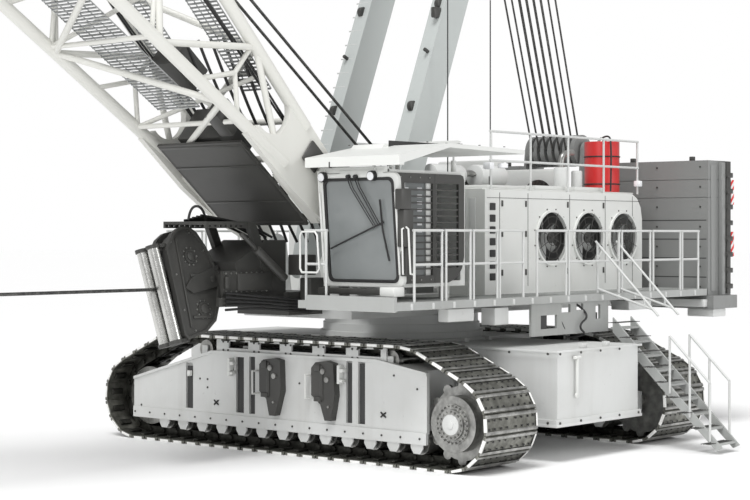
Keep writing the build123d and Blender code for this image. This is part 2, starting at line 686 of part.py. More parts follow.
with BuildPart() as cab:
    cab_plate(cab_side, CAB_INNER, CAB_OUTER)
    cab_plate(cab_inside, CAB_INNER + CAB_WALL, CAB_OUTER - CAB_WALL, mode=Mode.SUBTRACT)
    with BuildSketch(windshield) as opening:
        RectangleRounded(*WINDSHIELD, 90)
    extrude(opening.sketch, amount=CAB_WALL + 30, both=True, mode=Mode.SUBTRACT)
    slab((DOOR_REAR + 40, DOOR_FRONT - 20), (CAB_OUTER - CAB_WALL - 10, CAB_OUTER + 10),
         (CAB_BOTTOM + 90, CAB_TOP - 130), mode=Mode.SUBTRACT)
    for y in (CAB_INNER, CAB_OUTER - CAB_WALL):
        slab((PANE_REAR, PANE_FRONT), (y - 10, y + CAB_WALL + 10), SIDE_WINDOW, mode=Mode.SUBTRACT)
    for x in (CAB_REAR + 250, CAB_FRONT - 250):
        for y in (CAB_INNER + 250, CAB_OUTER - 250):
            rod((x, y, DECK_TOP), (x, y, CAB_BOTTOM), 90)
save(cab, "cab_shell")

with BuildPart() as cab_glass:
    with BuildSketch(windshield.offset(-CAB_WALL / 2 - GLASS)) as pane:
        RectangleRounded(*WINDSHIELD, 90)
    extrude(pane.sketch, amount=GLASS)
    for y in (CAB_INNER + CAB_WALL / 2, CAB_OUTER - CAB_WALL / 2):
        slab((PANE_REAR, PANE_FRONT), (y - GLASS / 2, y + GLASS / 2), SIDE_WINDOW)
save(cab_glass, "cab_glass")

LOUVRE_PITCH = 115
LOUVRE_BAR = 26


def louvred(y, x_low, x_high, z_low, z_high):
    """An opening through a plate, crossed by level bars, in the current part."""
    slab((x_low, x_high), (y[0] - 10, y[1] + 10), (z_low, z_high), mode=Mode.SUBTRACT)
    count = int((z_high - z_low) / LOUVRE_PITCH)
    for index in range(1, count + 1):
        z = z_low + index * (z_high - z_low) / (count + 1)
        slab((x_low - 5, x_high + 5), (y[0] + 10, y[1] - 10), (z - LOUVRE_BAR / 2, z + LOUVRE_BAR / 2))


door_y = (CAB_OUTER + STEEL_SEAT, CAB_OUTER + STEEL_SEAT + DOOR_THICKNESS)
DOOR_SPAN = (CAB_BOTTOM + 60, CAB_TOP - 50)
with BuildPart() as cab_door:
    low, high = DOOR_SPAN
    outline = [(DOOR_FRONT, low), (DOOR_FRONT, high), (DOOR_REAR + 90, high), (DOOR_REAR + 25, high - 25),
               (DOOR_REAR, high - 90), (DOOR_REAR, low + 420), (DOOR_REAR + 60, low + 230),
               (DOOR_REAR + 200, low + 80), (DOOR_REAR + 420, low)]
    cab_plate(outline, *door_y)
    louvred(door_y, DOOR_REAR + 150, DOOR_FRONT - 40, low + 250, high - 160)
save(cab_door, "cab_door")

with BuildPart() as guard:
    low, high = DOOR_SPAN
    front = CAB_FRONT - 30
    outline = [(DOOR_FRONT + 6, low), (front, low), (front + WINDSHIELD_LEAN * 0.95, high),
               (DOOR_FRONT + 6, high)]
    guard_y = (CAB_OUTER, door_y[1])
    cab_plate(outline, *guard_y)
    louvred(guard_y, DOOR_FRONT + 50, GUARD_FRONT - 20, low + 130, high - 160)
save(guard, "cab_side_guard")

with BuildPart() as seat:
    middle = (CAB_INNER + CAB_OUTER) / 2
    width = (middle - 250, middle + 250)
    slab((2400, 2900), width, (CAB_BOTTOM + CAB_WALL, CAB_BOTTOM + 560))
    slab((2350, 2500), width, (CAB_BOTTOM + 560, CAB_BOTTOM + 1250))
save(seat, "cab_seat")

with BuildPart() as canopy:
    inner = CAB_INNER
    with BuildSketch(Plane.XZ.offset(-CANOPY_OUTER)):
        with BuildLine():
            Polyline((CANOPY_FRONT, 4950), (CANOPY_FRONT, 5110), (2960, 5340), (CANOPY_REAR, 5300),
                     (CANOPY_REAR, 5300 - CANOPY_THICKNESS), (2960, 5340 - CANOPY_THICKNESS),
                     (CANOPY_FRONT - 120, 4990), (CANOPY_FRONT - 120, 4950), close=True)
        make_face()
    extrude(amount=CANOPY_OUTER - inner)
    for x in (CAB_REAR + 120, CAB_FRONT - 120):
        for y in (CAB_INNER + 150, CAB_OUTER - 150):
            rod((x, y, CAB_TOP), (x, y, 5100), 45)
save(canopy, "cab_canopy")

# Winches between the houses
WINCH_HEIGHT = 4350
DRUM_RADIUS = 420
FLANGE_RADIUS = 600
DRUM_HALF = 640
WINCHES = (("hoist_drum", 300), ("drag_drum", -1250), ("luffing_drum", -3600))
with BuildPart() as winch_frames:
    for _, x in WINCHES:
        for side in (-1, 1):
            y = sorted((side * (DRUM_HALF + 20), side * (DRUM_HALF + 100)))
            slab((x - 350, x + 350), y, (DECK_TOP, WINCH_HEIGHT))
            rod((x, y[0], WINCH_HEIGHT), (x, y[1], WINCH_HEIGHT), 350)
            rod((x, y[0] - 10, WINCH_HEIGHT), (x, y[1] + 10, WINCH_HEIGHT), 131, mode=Mode.SUBTRACT)
save(winch_frames, "winch_frames")
for name, x in WINCHES:
    with BuildPart() as drum:
        rod((x, -DRUM_HALF, WINCH_HEIGHT), (x, DRUM_HALF, WINCH_HEIGHT), DRUM_RADIUS)
        rod((x, -DRUM_HALF - 95, WINCH_HEIGHT), (x, DRUM_HALF + 95, WINCH_HEIGHT), 130.95)
        for side in (-1, 1):
            y = sorted((side * (DRUM_HALF - 50), side * DRUM_HALF))
            rod((x, y[0], WINCH_HEIGHT), (x, y[1], WINCH_HEIGHT), FLANGE_RADIUS)
    save(drum, name)

# Rear sheave block for the luffing ropes, on its own posts
REAR_BLOCK = (-5190, 5600)
with BuildPart() as rear_block:
    for side in (-1, 1):
        y = sorted((side * 680, side * 740))
        with BuildSketch(Plane.XZ.offset(-y[1])):
            with BuildLine():
                Polyline((REAR_BLOCK[0] - 180, DECK_TOP), (REAR_BLOCK[0] + 480, DECK_TOP),
                         (REAR_BLOCK[0] + 180, REAR_BLOCK[1]), (REAR_BLOCK[0] - 180, REAR_BLOCK[1]),
                         close=True)
            make_face()
            with Locations(REAR_BLOCK):
                Circle(180)
        extrude(amount=60)
    rod((REAR_BLOCK[0], -700, REAR_BLOCK[1]), (REAR_BLOCK[0], 700, REAR_BLOCK[1]), 90)
    for index in range(7):
        y = (index - 3) * 190
        rod((REAR_BLOCK[0], y - 55, REAR_BLOCK[1]), (REAR_BLOCK[0], y + 55, REAR_BLOCK[1]), 330)
save(rear_block, "luffing_sheave_block")

with BuildPart() as tank:
    rod((-4200, 1750, HOUSE_TOP), (-4200, 1750, HOUSE_TOP + 1050), 350)
save(tank, "fire_tank")

# Counterweight: base plate and two stacks beside a centre piece
with BuildPart() as weight_base:
    slab((WEIGHT_REAR, FRAME_REAR), (-WEIGHT_HALF_WIDTH - 150, WEIGHT_HALF_WIDTH + 150),
         (WEIGHT_BASE_BOTTOM, WEIGHT_BOTTOM))
save(weight_base, "counterweight_base")
for name, side in (("left", 1), ("right", -1)):
    with BuildPart() as stack:
        y = sorted((side * 1150, side * WEIGHT_HALF_WIDTH))
        slab((WEIGHT_REAR, WEIGHT_FRONT), y, (WEIGHT_BOTTOM, WEIGHT_TOP))
        for z in WEIGHT_JOINTS:
            groove = (z, z + 14)
            outer = sorted((side * (WEIGHT_HALF_WIDTH - 15), side * (WEIGHT_HALF_WIDTH + 1)))
            slab((WEIGHT_REAR - 1, WEIGHT_FRONT + 1), outer, groove, mode=Mode.SUBTRACT)
            slab((WEIGHT_REAR - 1, WEIGHT_REAR + 15), y, groove, mode=Mode.SUBTRACT)
            slab((WEIGHT_FRONT - 15, WEIGHT_FRONT + 1), y, groove, mode=Mode.SUBTRACT)
    save(stack, f"counterweight_{name}")
with BuildPart() as centre_weight:
    slab((WEIGHT_REAR + 60, WEIGHT_FRONT), (-1150, 1150), (WEIGHT_BOTTOM, 4700))
save(centre_weight, "counterweight_centre")

# Boom: four chords, lacing and cross tubes, laid out along its own axis
boom_dir = (cos(radians(BOOM_ANGLE)), sin(radians(BOOM_ANGLE)))


def boom_point(s, y, n):
    """A point from its distance along the boom, its Y and its height over the boom's axis."""
    x = BOOM_FOOT[0] + s * boom_dir[0] - n * boom_dir[1]
    return x, y, BOOM_FOOT[1] + s * boom_dir[1] + n * boom_dir[0]


HEAD_HALF_DEPTH = 420


def boom_half_depth(s):
    if s < FOOT_TAPER_END:
        return 90 + (BOOM_HALF_DEPTH - 90) * s / FOOT_TAPER_END
    if s < MID_SECTION_END:
        return BOOM_HALF_DEPTH
    taper = (s - MID_SECTION_END) / (HEAD_TAPER_END - MID_SECTION_END)
    return BOOM_HALF_DEPTH + (HEAD_HALF_DEPTH - BOOM_HALF_DEPTH) * min(taper, 1)


def boom_half_width(s):
    if s < MID_SECTION_END:
        return BOOM_HALF_WIDTH
    taper = (s - MID_SECTION_END) / (HEAD_TAPER_END - MID_SECTION_END)
    return BOOM_HALF_WIDTH + (780 - BOOM_HALF_WIDTH) * min(taper, 1)


def chord_point(s, side, face):
    return boom_point(s, side * boom_half_width(s), face * boom_half_depth(s))


def stretch(a, b, extra):
    """The point past b on the line from a."""
    a, b = Vector(*a), Vector(*b)
    point = b + (b - a).normalized() * extra
    return point.X, point.Y, point.Z


def boom_tubes(start, end, bays):
    """Four chords with zigzag lacing on each face and a cross tube at each end, in the part."""
    chords = []
    for side in (-1, 1):
        for face in (-1, 1):
            a, b = chord_point(start, side, face), chord_point(end, side, face)
            chords.append((stretch(b, a, 60), stretch(a, b, 60)))
    rods(chords, CHORD_RADIUS)
    for s, keep_side in ((start, 1), (end, -1)):
        middle = boom_point(s - keep_side * 500, 0, 0)
        with Locations(Location(middle, (0, -BOOM_ANGLE, 0))):
            Box(1000, 2 * BOOM_HALF_WIDTH + 1000, 2 * BOOM_HALF_DEPTH + 1000, mode=Mode.SUBTRACT)
    laces = []
    stations = [start + 150 + (end - start - 300) * k / bays for k in range(bays + 1)]
    for k in range(bays):
        a, b = stations[k], stations[k + 1]
        flip = 1 if k % 2 else -1
        for side in (-1, 1):
            laces.append((chord_point(a, side, flip), chord_point(b, side, -flip)))
        for face in (-1, 1):
            laces.append((chord_point(a, flip, face), chord_point(b, -flip, face)))
    for s in (stations[0], stations[-1]):
        for face in (-1, 1):
            laces.append((chord_point(s, -1, face), chord_point(s, 1, face)))
        for side in (-1, 1):
            laces.append((chord_point(s, side, -1), chord_point(s, side, 1)))
    rods(laces, LACE_RADIUS)


FOOT_PLATE_END = 2700
FOOT_PLATE = ((0, 190), (2180, 430), (3200, 540), (3700, -640), (2400, -650), (1500, -560), (0, -190))
FOOT_BOX = (1350, 2600)
FOOT_LEG = 250
with BuildPart() as foot:
    boom_tubes(FOOT_PLATE_END, FOOT_TAPER_END, 4)
    for side in (-1, 1):
        profile = [boom_point(s, 0, n) for s, n in FOOT_PLATE]
        with BuildSketch(Plane.XZ.offset(-side * BOOM_HALF_WIDTH - 60)):
            with BuildLine():
                Polyline(*[(p[0], p[2]) for p in profile], close=True)
            make_face()
            with Locations(BOOM_FOOT):
                Circle(230)
            notch = boom_point(FOOT_PLATE_END + 800, 0, 60)
            with Locations((notch[0], notch[2])):
                Circle(400, mode=Mode.SUBTRACT)
        extrude(amount=120)
        # Box leg: an inner plate and the closing strips above and below
        for low, high, near, far in ((-560, -510, FOOT_LEG, 60), (380, 430, FOOT_LEG, 60),
                                     (-560, 430, FOOT_LEG, FOOT_LEG - 60)):
            middle = boom_point(sum(FOOT_BOX) / 2, side * (BOOM_HALF_WIDTH - (near + far) / 2),
                                (low + high) / 2)
            with Locations(Location(middle, (0, -BOOM_ANGLE, 0))):
                Box(FOOT_BOX[1] - FOOT_BOX[0], near - far, high - low)
save(foot, "boom_foot_section")

# Dark guard plate between the two legs of the foot
with BuildPart() as foot_guard:
    middle = boom_point(2450, 0, -615)
    with Locations(Location(middle, (0, -BOOM_ANGLE, 0))):
        Box(2100, 2 * (BOOM_HALF_WIDTH - FOOT_LEG), 50)
    for s in (1500, 2450):
        middle = boom_point(s, 0, -550)
        with Locations(Location(middle, (0, -BOOM_ANGLE, 0))):
            Box(90, 2 * (BOOM_HALF_WIDTH - FOOT_LEG), 100)
save(foot_guard, "boom_foot_guard")
with BuildPart() as middle:
    boom_tubes(FOOT_TAPER_END, MID_SECTION_END, 7)
save(middle, "boom_middle_section")
with BuildPart() as head:
    boom_tubes(MID_SECTION_END, HEAD_TAPER_END, 5)
    for side in (-1, 1):
        p = boom_point(BOOM_LENGTH, 0, 0)
        corners = [boom_point(HEAD_TAPER_END - 700, 0, 520), boom_point(BOOM_LENGTH, 0, 300),
                   boom_point(BOOM_LENGTH, 0, -300), boom_point(HEAD_TAPER_END - 700, 0, -520)]
        with BuildSketch(Plane.XZ.offset(-side * 780 - 35)):
            with BuildLine():
                Polyline(*[(q[0], q[2]) for q in corners], close=True)
            make_face()
            with Locations((p[0], p[2])):
                Circle(300)
        extrude(amount=70)
    tip = boom_point(BOOM_LENGTH, 0, 0)
    rod((tip[0], -790, tip[2]), (tip[0], 790, tip[2]), 90, mode=Mode.SUBTRACT)
save(head, "boom_head_section")

tip = boom_point(BOOM_LENGTH, 0, 0)
HEAD_SHEAVE_RADIUS = 600
HEAD_SHEAVE_Y = 180
with BuildPart() as head_sheaves:
    rod((tip[0], -780, tip[2]), (tip[0], 780, tip[2]), 89.95)
    for y in (-HEAD_SHEAVE_Y, HEAD_SHEAVE_Y):
        rod((tip[0], y - 60, tip[2]), (tip[0], y + 60, tip[2]), HEAD_SHEAVE_RADIUS)
save(head_sheaves, "boom_head_sheaves")

PENDANT_Y = 940
PENDANT_STATION = BOOM_LENGTH - 250
PENDANT_RISE = 250
with BuildPart() as pendants:
    for side in (-1, 1):
        far = boom_point(PENDANT_STATION, side * PENDANT_Y, PENDANT_RISE)
        near = (MAST_HEAD[0] + 420, side * PENDANT_Y, MAST_HEAD[1] + 130)
        rod(near, far, 45)
        pin = sorted((side * (780 + 35 + STEEL_SEAT), side * (PENDANT_Y + 60)))
        rod((far[0], pin[0], far[2]), (far[0], pin[1], far[2]), 70)
save(pendants, "boom_pendants")

# Mast: two box legs, cross tubes and a head shaft with sheaves
mast_lean = atan2(MAST_HEAD[1] - MAST_FOOT[1], MAST_HEAD[0] - MAST_FOOT[0])
mast_dir = (cos(mast_lean), sin(mast_lean))
mast_length = hypot(MAST_HEAD[0] - MAST_FOOT[0], MAST_HEAD[1] - MAST_FOOT[1])


def mast_point(s, y, n=0):
    x = MAST_FOOT[0] + s * mast_dir[0] + n * mast_dir[1]
    return x, y, MAST_FOOT[1] + s * mast_dir[1] - n * mast_dir[0]


with BuildPart() as mast:
    for side in (-1, 1):
        half = MAST_LEG_DEPTH / 2
        outline = [mast_point(0, 0, 170), mast_point(900, 0, half),
                   mast_point(mast_length - 900, 0, half), mast_point(mast_length, 0, 180),
                   mast_point(mast_length, 0, -180), mast_point(mast_length - 900, 0, -half),
                   mast_point(900, 0, -half), mast_point(0, 0, -170)]
        plane = Plane.XZ.offset(-side * MAST_LEG_Y - MAST_LEG_WIDTH / 2)
        with BuildSketch(plane):
            with BuildLine():
                Polyline(*[(q[0], q[2]) for q in outline], close=True)
            make_face()
            with Locations(MAST_FOOT):
                Circle(170)
            with Locations(MAST_HEAD):
                Circle(180)
        extrude(amount=MAST_LEG_WIDTH)
    rods([(mast_point(s, -MAST_LEG_Y), mast_point(s, MAST_LEG_Y)) for s in (6800, 9300)], 120)
    head_axis = mast_point(mast_length, 0)
    rod((head_axis[0], -MAST_LEG_Y, head_axis[2]), (head_axis[0], MAST_LEG_Y, head_axis[2]), 90)
    for index in range(6):
        y = (index - 2.5) * 190
        rod((head_axis[0], y - 55, head_axis[2]), (head_axis[0], y + 55, head_axis[2]), 330)
save(mast, "luffing_mast")

# Fairlead: a box beam out of the upper frame, and the head that rolls about the drag rope
with BuildPart() as fairlead_frame:
    slab((FRAME_FRONT, 3750), (-620, 620), (UPPER_BOTTOM + 80, DECK_TOP + 100))
    cab_plate(((3700, 2660), (FAIRLEAD_SWIVEL, 2660), (FAIRLEAD_SWIVEL, 3390), (4210, 3750),
               (3700, 3750)), -500, 500)
    rod((3600, 0, FAIRLEAD_AXIS), (FAIRLEAD_SWIVEL + 10, 0, FAIRLEAD_AXIS), 160, mode=Mode.SUBTRACT)
    for side in (-1, 1):
        y = sorted((side * 460, side * 520))
        slab((4100, 5220), y, (2870, 3240))
        slab((4040, 5310), y, (2650, 2800))
        post = sorted((side * 440, side * 540))
        cab_plate(((3950, 2900), (4120, 2900), (4640, 4000), (4640, 4060), (4480, 4060)), *post)
        beam = sorted((side * 460, side * 510))
        slab((4470, 5600), beam, (3950, 4060))
        for index in range(7):
            x = 4760 + index * 120
            slab((x, x + 50), (beam[0] - 5, beam[1] + 5), (3970, 4000), mode=Mode.SUBTRACT)
    slab((4470, 5600), (-460, 460), (4010, 4060))
save(fairlead_frame, "fairlead_frame")

roll = Plane(origin=(0, 0, FAIRLEAD_AXIS), x_dir=(1, 0, 0),
             z_dir=(0, -sin(radians(FAIRLEAD_ROLL)), cos(radians(FAIRLEAD_ROLL))))


def rolled(x, y, z):
    """A point of the fairlead head from its place before the head is rolled."""
    point = roll.from_local_coords(Vector(x, y, z - FAIRLEAD_AXIS))
    return point.X, point.Y, point.Z


HEAD_PLATE_Y = 160
HEAD_PLATE = 50
HEAD_RIM = 45
HEAD_OUTLINE = (
    (4980, 80), (5060, 440), (5170, 680), (5310, 900), (5420, 975), (5540, 1010), (5700, 985),
    (5870, 880), (6060, 640), (5990, -820), (5910, -900), (5490, -790), (5230, -610), (5080, -320),
    (4990, -20),
)
HEAD_ARM = ((4950, 340), (5610, 130), (5780, -40), (5620, -130), (4990, -20))
SHEAVES = (("upper", 5530, 500, 440), ("lower", 5440, -400, 355))
ROLLER_TOP = (6250, 650)
ROLLER_BOTTOM = (6120, -880)
ROLLER_RADIUS_FAIRLEAD = 100


def head_plane(y):
    return Plane(origin=rolled(0, y, FAIRLEAD_AXIS), x_dir=(1, 0, 0), z_dir=-roll.y_dir)


def head_plate(corners, y_low, y_high, rim=0):
    """A plate of the head between two distances from its middle, or its rim alone."""
    with BuildSketch(head_plane(y_high)) as section:
        with BuildLine():
            Polyline(*corners, close=True)
        make_face()
        if rim:
            offset(amount=-rim, kind=Kind.INTERSECTION, mode=Mode.SUBTRACT)
    extrude(section.sketch, amount=y_high - y_low)


def roller_point(t, y):
    x = ROLLER_BOTTOM[0] + (ROLLER_TOP[0] - ROLLER_BOTTOM[0]) * t
    z = ROLLER_BOTTOM[1] + (ROLLER_TOP[1] - ROLLER_BOTTOM[1]) * t
    return rolled(x, y, FAIRLEAD_AXIS + z)


roller_length = hypot(ROLLER_TOP[0] - ROLLER_BOTTOM[0], ROLLER_TOP[1] - ROLLER_BOTTOM[1])
roller_seat = STEEL_SEAT / roller_length
roller_cap = 60 / roller_length
plate_out = HEAD_PLATE_Y + HEAD_PLATE / 2
with BuildPart() as fairlead_head:
    for side in (-1, 1):
        plate = sorted((side * (plate_out - HEAD_PLATE), side * plate_out))
        head_plate(HEAD_OUTLINE, *plate)
        proud = sorted((side * (plate_out - 10), side * (plate_out + HEAD_RIM)))
        head_plate(HEAD_OUTLINE, *proud, rim=HEAD_RIM)
        arm = sorted((side * (plate_out - 10), side * (plate_out + 40)))
        head_plate(HEAD_ARM, *arm)
        for _, x, z, _ in SHEAVES:
            rod(rolled(x, side * plate_out, FAIRLEAD_AXIS + z),
                rolled(x, side * (plate_out + 25), FAIRLEAD_AXIS + z), 120)
    rod(rolled(FAIRLEAD_SWIVEL + STEEL_SEAT, 0, FAIRLEAD_AXIS), rolled(5020, 0, FAIRLEAD_AXIS), 330)
    rod(rolled(FAIRLEAD_SWIVEL - 200, 0, FAIRLEAD_AXIS), rolled(5020, 0, FAIRLEAD_AXIS), 155)
    rod(rolled(FAIRLEAD_SWIVEL - 210, 0, FAIRLEAD_AXIS), rolled(5030, 0, FAIRLEAD_AXIS), 90,
        mode=Mode.SUBTRACT)
    # Caps over and under the rollers, tied to the plates
    for t, step in ((1, roller_cap), (0, -roller_cap)):
        for y in (-ROLLER_RADIUS_FAIRLEAD - 30, ROLLER_RADIUS_FAIRLEAD + 30):
            rod(roller_point(t, y), roller_point(t + step, y), ROLLER_RADIUS_FAIRLEAD + 20)
        leaning = Vector(*roller_point(1, 0)) - Vector(*roller_point(0, 0))
        backwards = leaning.cross(roll.y_dir).normalized()
        near = Vector(*roller_point(t + step / 2, 0)) + backwards * 115
        with Locations(Plane(origin=near, x_dir=backwards, z_dir=leaning)):
            Box(270, 2 * plate_out, 60)
save(fairlead_head, "fairlead_head")

for name, x, z, radius in SHEAVES:
    with BuildPart() as sheave:
        level = FAIRLEAD_AXIS + z
        rod(rolled(x, -60, level), rolled(x, 60, level), radius)
        half = HEAD_PLATE_Y - HEAD_PLATE / 2 - STEEL_SEAT
        rod(rolled(x, -half, level), rolled(x, half, level), 90)
    save(sheave, f"fairlead_sheave_{name}")

with BuildPart() as rollers:
    for y in (-ROLLER_RADIUS_FAIRLEAD - 30, ROLLER_RADIUS_FAIRLEAD + 30):
        rod(roller_point(roller_seat, y), roller_point(1 - roller_seat, y), ROLLER_RADIUS_FAIRLEAD)
save(rollers, "fairlead_rollers")

# Bucket rig: the hoist rope leans from the boom head to the bucket
RIG_TOP = (20050, 6300)
rope_reach = HEAD_SHEAVE_RADIUS + ROPE_RADIUS + STEEL_SEAT
rig_distance = hypot(tip[0] - RIG_TOP[0], tip[2] - RIG_TOP[1])
rope_lean = atan2(tip[0] - RIG_TOP[0], tip[2] - RIG_TOP[1]) + asin(rope_reach / rig_distance)
rope_dir = (sin(rope_lean), cos(rope_lean))
rope_end = (tip[0] + rope_reach * rope_dir[1], tip[2] - rope_reach * rope_dir[0])
rope_stop = (rope_end[0] - 5200 * rope_dir[0], rope_end[1] - 5200 * rope_dir[1])
with BuildPart() as hoist_rope:
    for y in (-HEAD_SHEAVE_Y, HEAD_SHEAVE_Y):
        rod((rope_stop[0], y, rope_stop[1]), (rope_end[0], y, rope_end[1]), ROPE_RADIUS)
    rod((rope_stop[0], -210, rope_stop[1]), (rope_stop[0], 210, rope_stop[1]), 45)
save(hoist_rope, "hoist_rope")

TRUNNION = (BUCKET_HITCH[0] + 1500, BUCKET_HITCH[1] - 150)
with BuildPart() as hoist_chains:
    half = CHAIN_Y
    rod((RIG_TOP[0], -half, RIG_TOP[1] - 500), (RIG_TOP[0], half, RIG_TOP[1] - 500), 80)
    bars = []
    for side in (-1, 1):
        bars.append(((RIG_TOP[0], side * half, RIG_TOP[1] - 500),
                     (TRUNNION[0], side * half, TRUNNION[1])))
        bars.append(((RIG_TOP[0], side * half, RIG_TOP[1] - 500), (RIG_TOP[0], 0, RIG_TOP[1])))
    rods(bars, CHAIN_RADIUS)
    rod((RIG_TOP[0], -260, RIG_TOP[1]), (RIG_TOP[0], 260, RIG_TOP[1]), 110)
save(hoist_chains, "hoist_chains")

with BuildPart() as bucket:
    x0, x1 = BUCKET_HITCH[0] + 100, BUCKET_HITCH[0] + BUCKET_LENGTH
    z0 = BUCKET_HITCH[1] - 600
    z1 = z0 + BUCKET_HEIGHT
    with BuildSketch(Plane.XZ.offset(-BUCKET_HALF_WIDTH)):
        with BuildLine():
            Polyline((x0, z0), (x1 - 500, z0), (x1, z0 + 500), (x1, z1), (x0 + 300, z1), close=True)
        make_face()
    extrude(amount=2 * BUCKET_HALF_WIDTH)
    with BuildSketch(Plane.XZ.offset(-BUCKET_HALF_WIDTH + BUCKET_WALL)):
        with BuildLine():
            w = BUCKET_WALL
            Polyline((x0 - 500, z0 + w), (x1 - 500 - w / 2, z0 + w), (x1 - w, z0 + 500 + w / 2),
                     (x1 - w, z1 + 300), (x0 - 500, z1 + 300), close=True)
        make_face()
    extrude(amount=2 * (BUCKET_HALF_WIDTH - BUCKET_WALL), mode=Mode.SUBTRACT)
    arch = BUCKET_HALF_WIDTH - BUCKET_WALL / 2
    rod((x0 + 300, -arch, z1 + 60), (x0 + 300, arch, z1 + 60), 100)
    for side in (-1, 1):
        y = sorted((side * (BUCKET_HALF_WIDTH - 10), side * (CHAIN_Y - CHAIN_RADIUS - STEEL_SEAT)))
        rod((TRUNNION[0], y[0], TRUNNION[1]), (TRUNNION[0], y[1], TRUNNION[1]), 90)
save(bucket, "bucket_shell")

with BuildPart() as teeth:
    for index in range(6):
        y = (index - 2.5) * 480
        slab((x0 - 420, x0), (y - 70, y + 70), (z0, z0 + BUCKET_WALL))
save(teeth, "bucket_teeth")

with BuildPart() as drag_chain:
    link_y = BUCKET_HALF_WIDTH + CHAIN_RADIUS + STEEL_SEAT
    x, z = BUCKET_HITCH
    rod((x - 2100, 0, z), (x - 2400, 0, z), 70)
    bars = []
    for side in (-1, 1):
        bars.append(((x - 2100, 0, z), (x - 900, side * link_y, z)))
        bars.append(((x - 900, side * link_y, z), (x + 60, side * link_y, z)))
    rods(bars, CHAIN_RADIUS)
save(drag_chain, "drag_chain")
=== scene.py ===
import math

import bmesh
import bpy
from mathutils import Matrix, Vector


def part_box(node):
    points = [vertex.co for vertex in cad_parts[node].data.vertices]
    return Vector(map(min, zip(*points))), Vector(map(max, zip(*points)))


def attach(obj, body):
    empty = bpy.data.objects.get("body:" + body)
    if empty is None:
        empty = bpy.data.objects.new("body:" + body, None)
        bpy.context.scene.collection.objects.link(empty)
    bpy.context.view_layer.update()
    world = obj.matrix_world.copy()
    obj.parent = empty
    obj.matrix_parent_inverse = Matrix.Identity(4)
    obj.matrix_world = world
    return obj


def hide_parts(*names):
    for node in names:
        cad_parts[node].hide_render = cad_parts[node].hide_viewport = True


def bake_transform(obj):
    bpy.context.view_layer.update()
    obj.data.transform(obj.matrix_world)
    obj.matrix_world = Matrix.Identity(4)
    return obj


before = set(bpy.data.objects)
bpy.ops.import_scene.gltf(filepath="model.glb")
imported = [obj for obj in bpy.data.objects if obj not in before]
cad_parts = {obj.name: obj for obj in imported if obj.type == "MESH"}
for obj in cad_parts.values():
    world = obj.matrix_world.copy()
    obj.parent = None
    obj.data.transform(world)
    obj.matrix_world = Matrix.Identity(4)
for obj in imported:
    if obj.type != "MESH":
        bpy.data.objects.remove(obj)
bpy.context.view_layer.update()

# The photograph's camera: level, with a long lens, off the front left corner
CAMERA_PLACE = Vector((25.463, 21.214, 3.851))
CAMERA_TURN = math.radians(90 + 40.664)
LENS = 83.97
SENSOR_WIDTH = 36
SHIFT_Y = -0.0212
FARTHEST_SEEN = 400


def place_camera():
    lens = bpy.data.cameras.new("camera")
    lens.lens = LENS
    lens.sensor_width = SENSOR_WIDTH
    lens.shift_y = SHIFT_Y
    lens.clip_end = FARTHEST_SEEN
    camera = bpy.data.objects.new("camera", lens)
    camera.location = CAMERA_PLACE
    camera.rotation_euler = (math.radians(90), 0, CAMERA_TURN)
    bpy.context.collection.objects.link(camera)
    bpy.context.scene.camera = camera


place_camera()


# Finishes

class Wire:
    """An output socket; sums and products of it add Math nodes."""

    def __init__(self, finish, socket):
        self.finish = finish
        self.socket = socket

    def _math(self, operation, first, second):
        return self.finish.node("ShaderNodeMath", {"operation": operation}, {0: first, 1: second})

    def __add__(self, other):
        return self._math("ADD", self, other)

    def __sub__(self, other):
        return self._math("SUBTRACT", self, other)

    def __rsub__(self, other):
        return self._math("SUBTRACT", other, self)

    def __mul__(self, other):
        return self._math("MULTIPLY", self, other)

    def __gt__(self, other):
        return self._math("GREATER_THAN", self, other)

    __radd__ = __add__
    __rmul__ = __mul__

    def span(self, low, high, to_low=0.0, to_high=1.0):
        """This value's step from low to high, held at both ends."""
        return self.finish.node(
            "ShaderNodeMapRange", {"clamp": True},
            {0: self, 1: low, 2: high, 3: to_low, 4: to_high})

    def part(self, step):
        """The distance into the current step, as a share of the step."""
        share = self * (1 / step)
        return self.finish.node("ShaderNodeMath", {"operation": "FRACT"}, {0: share})


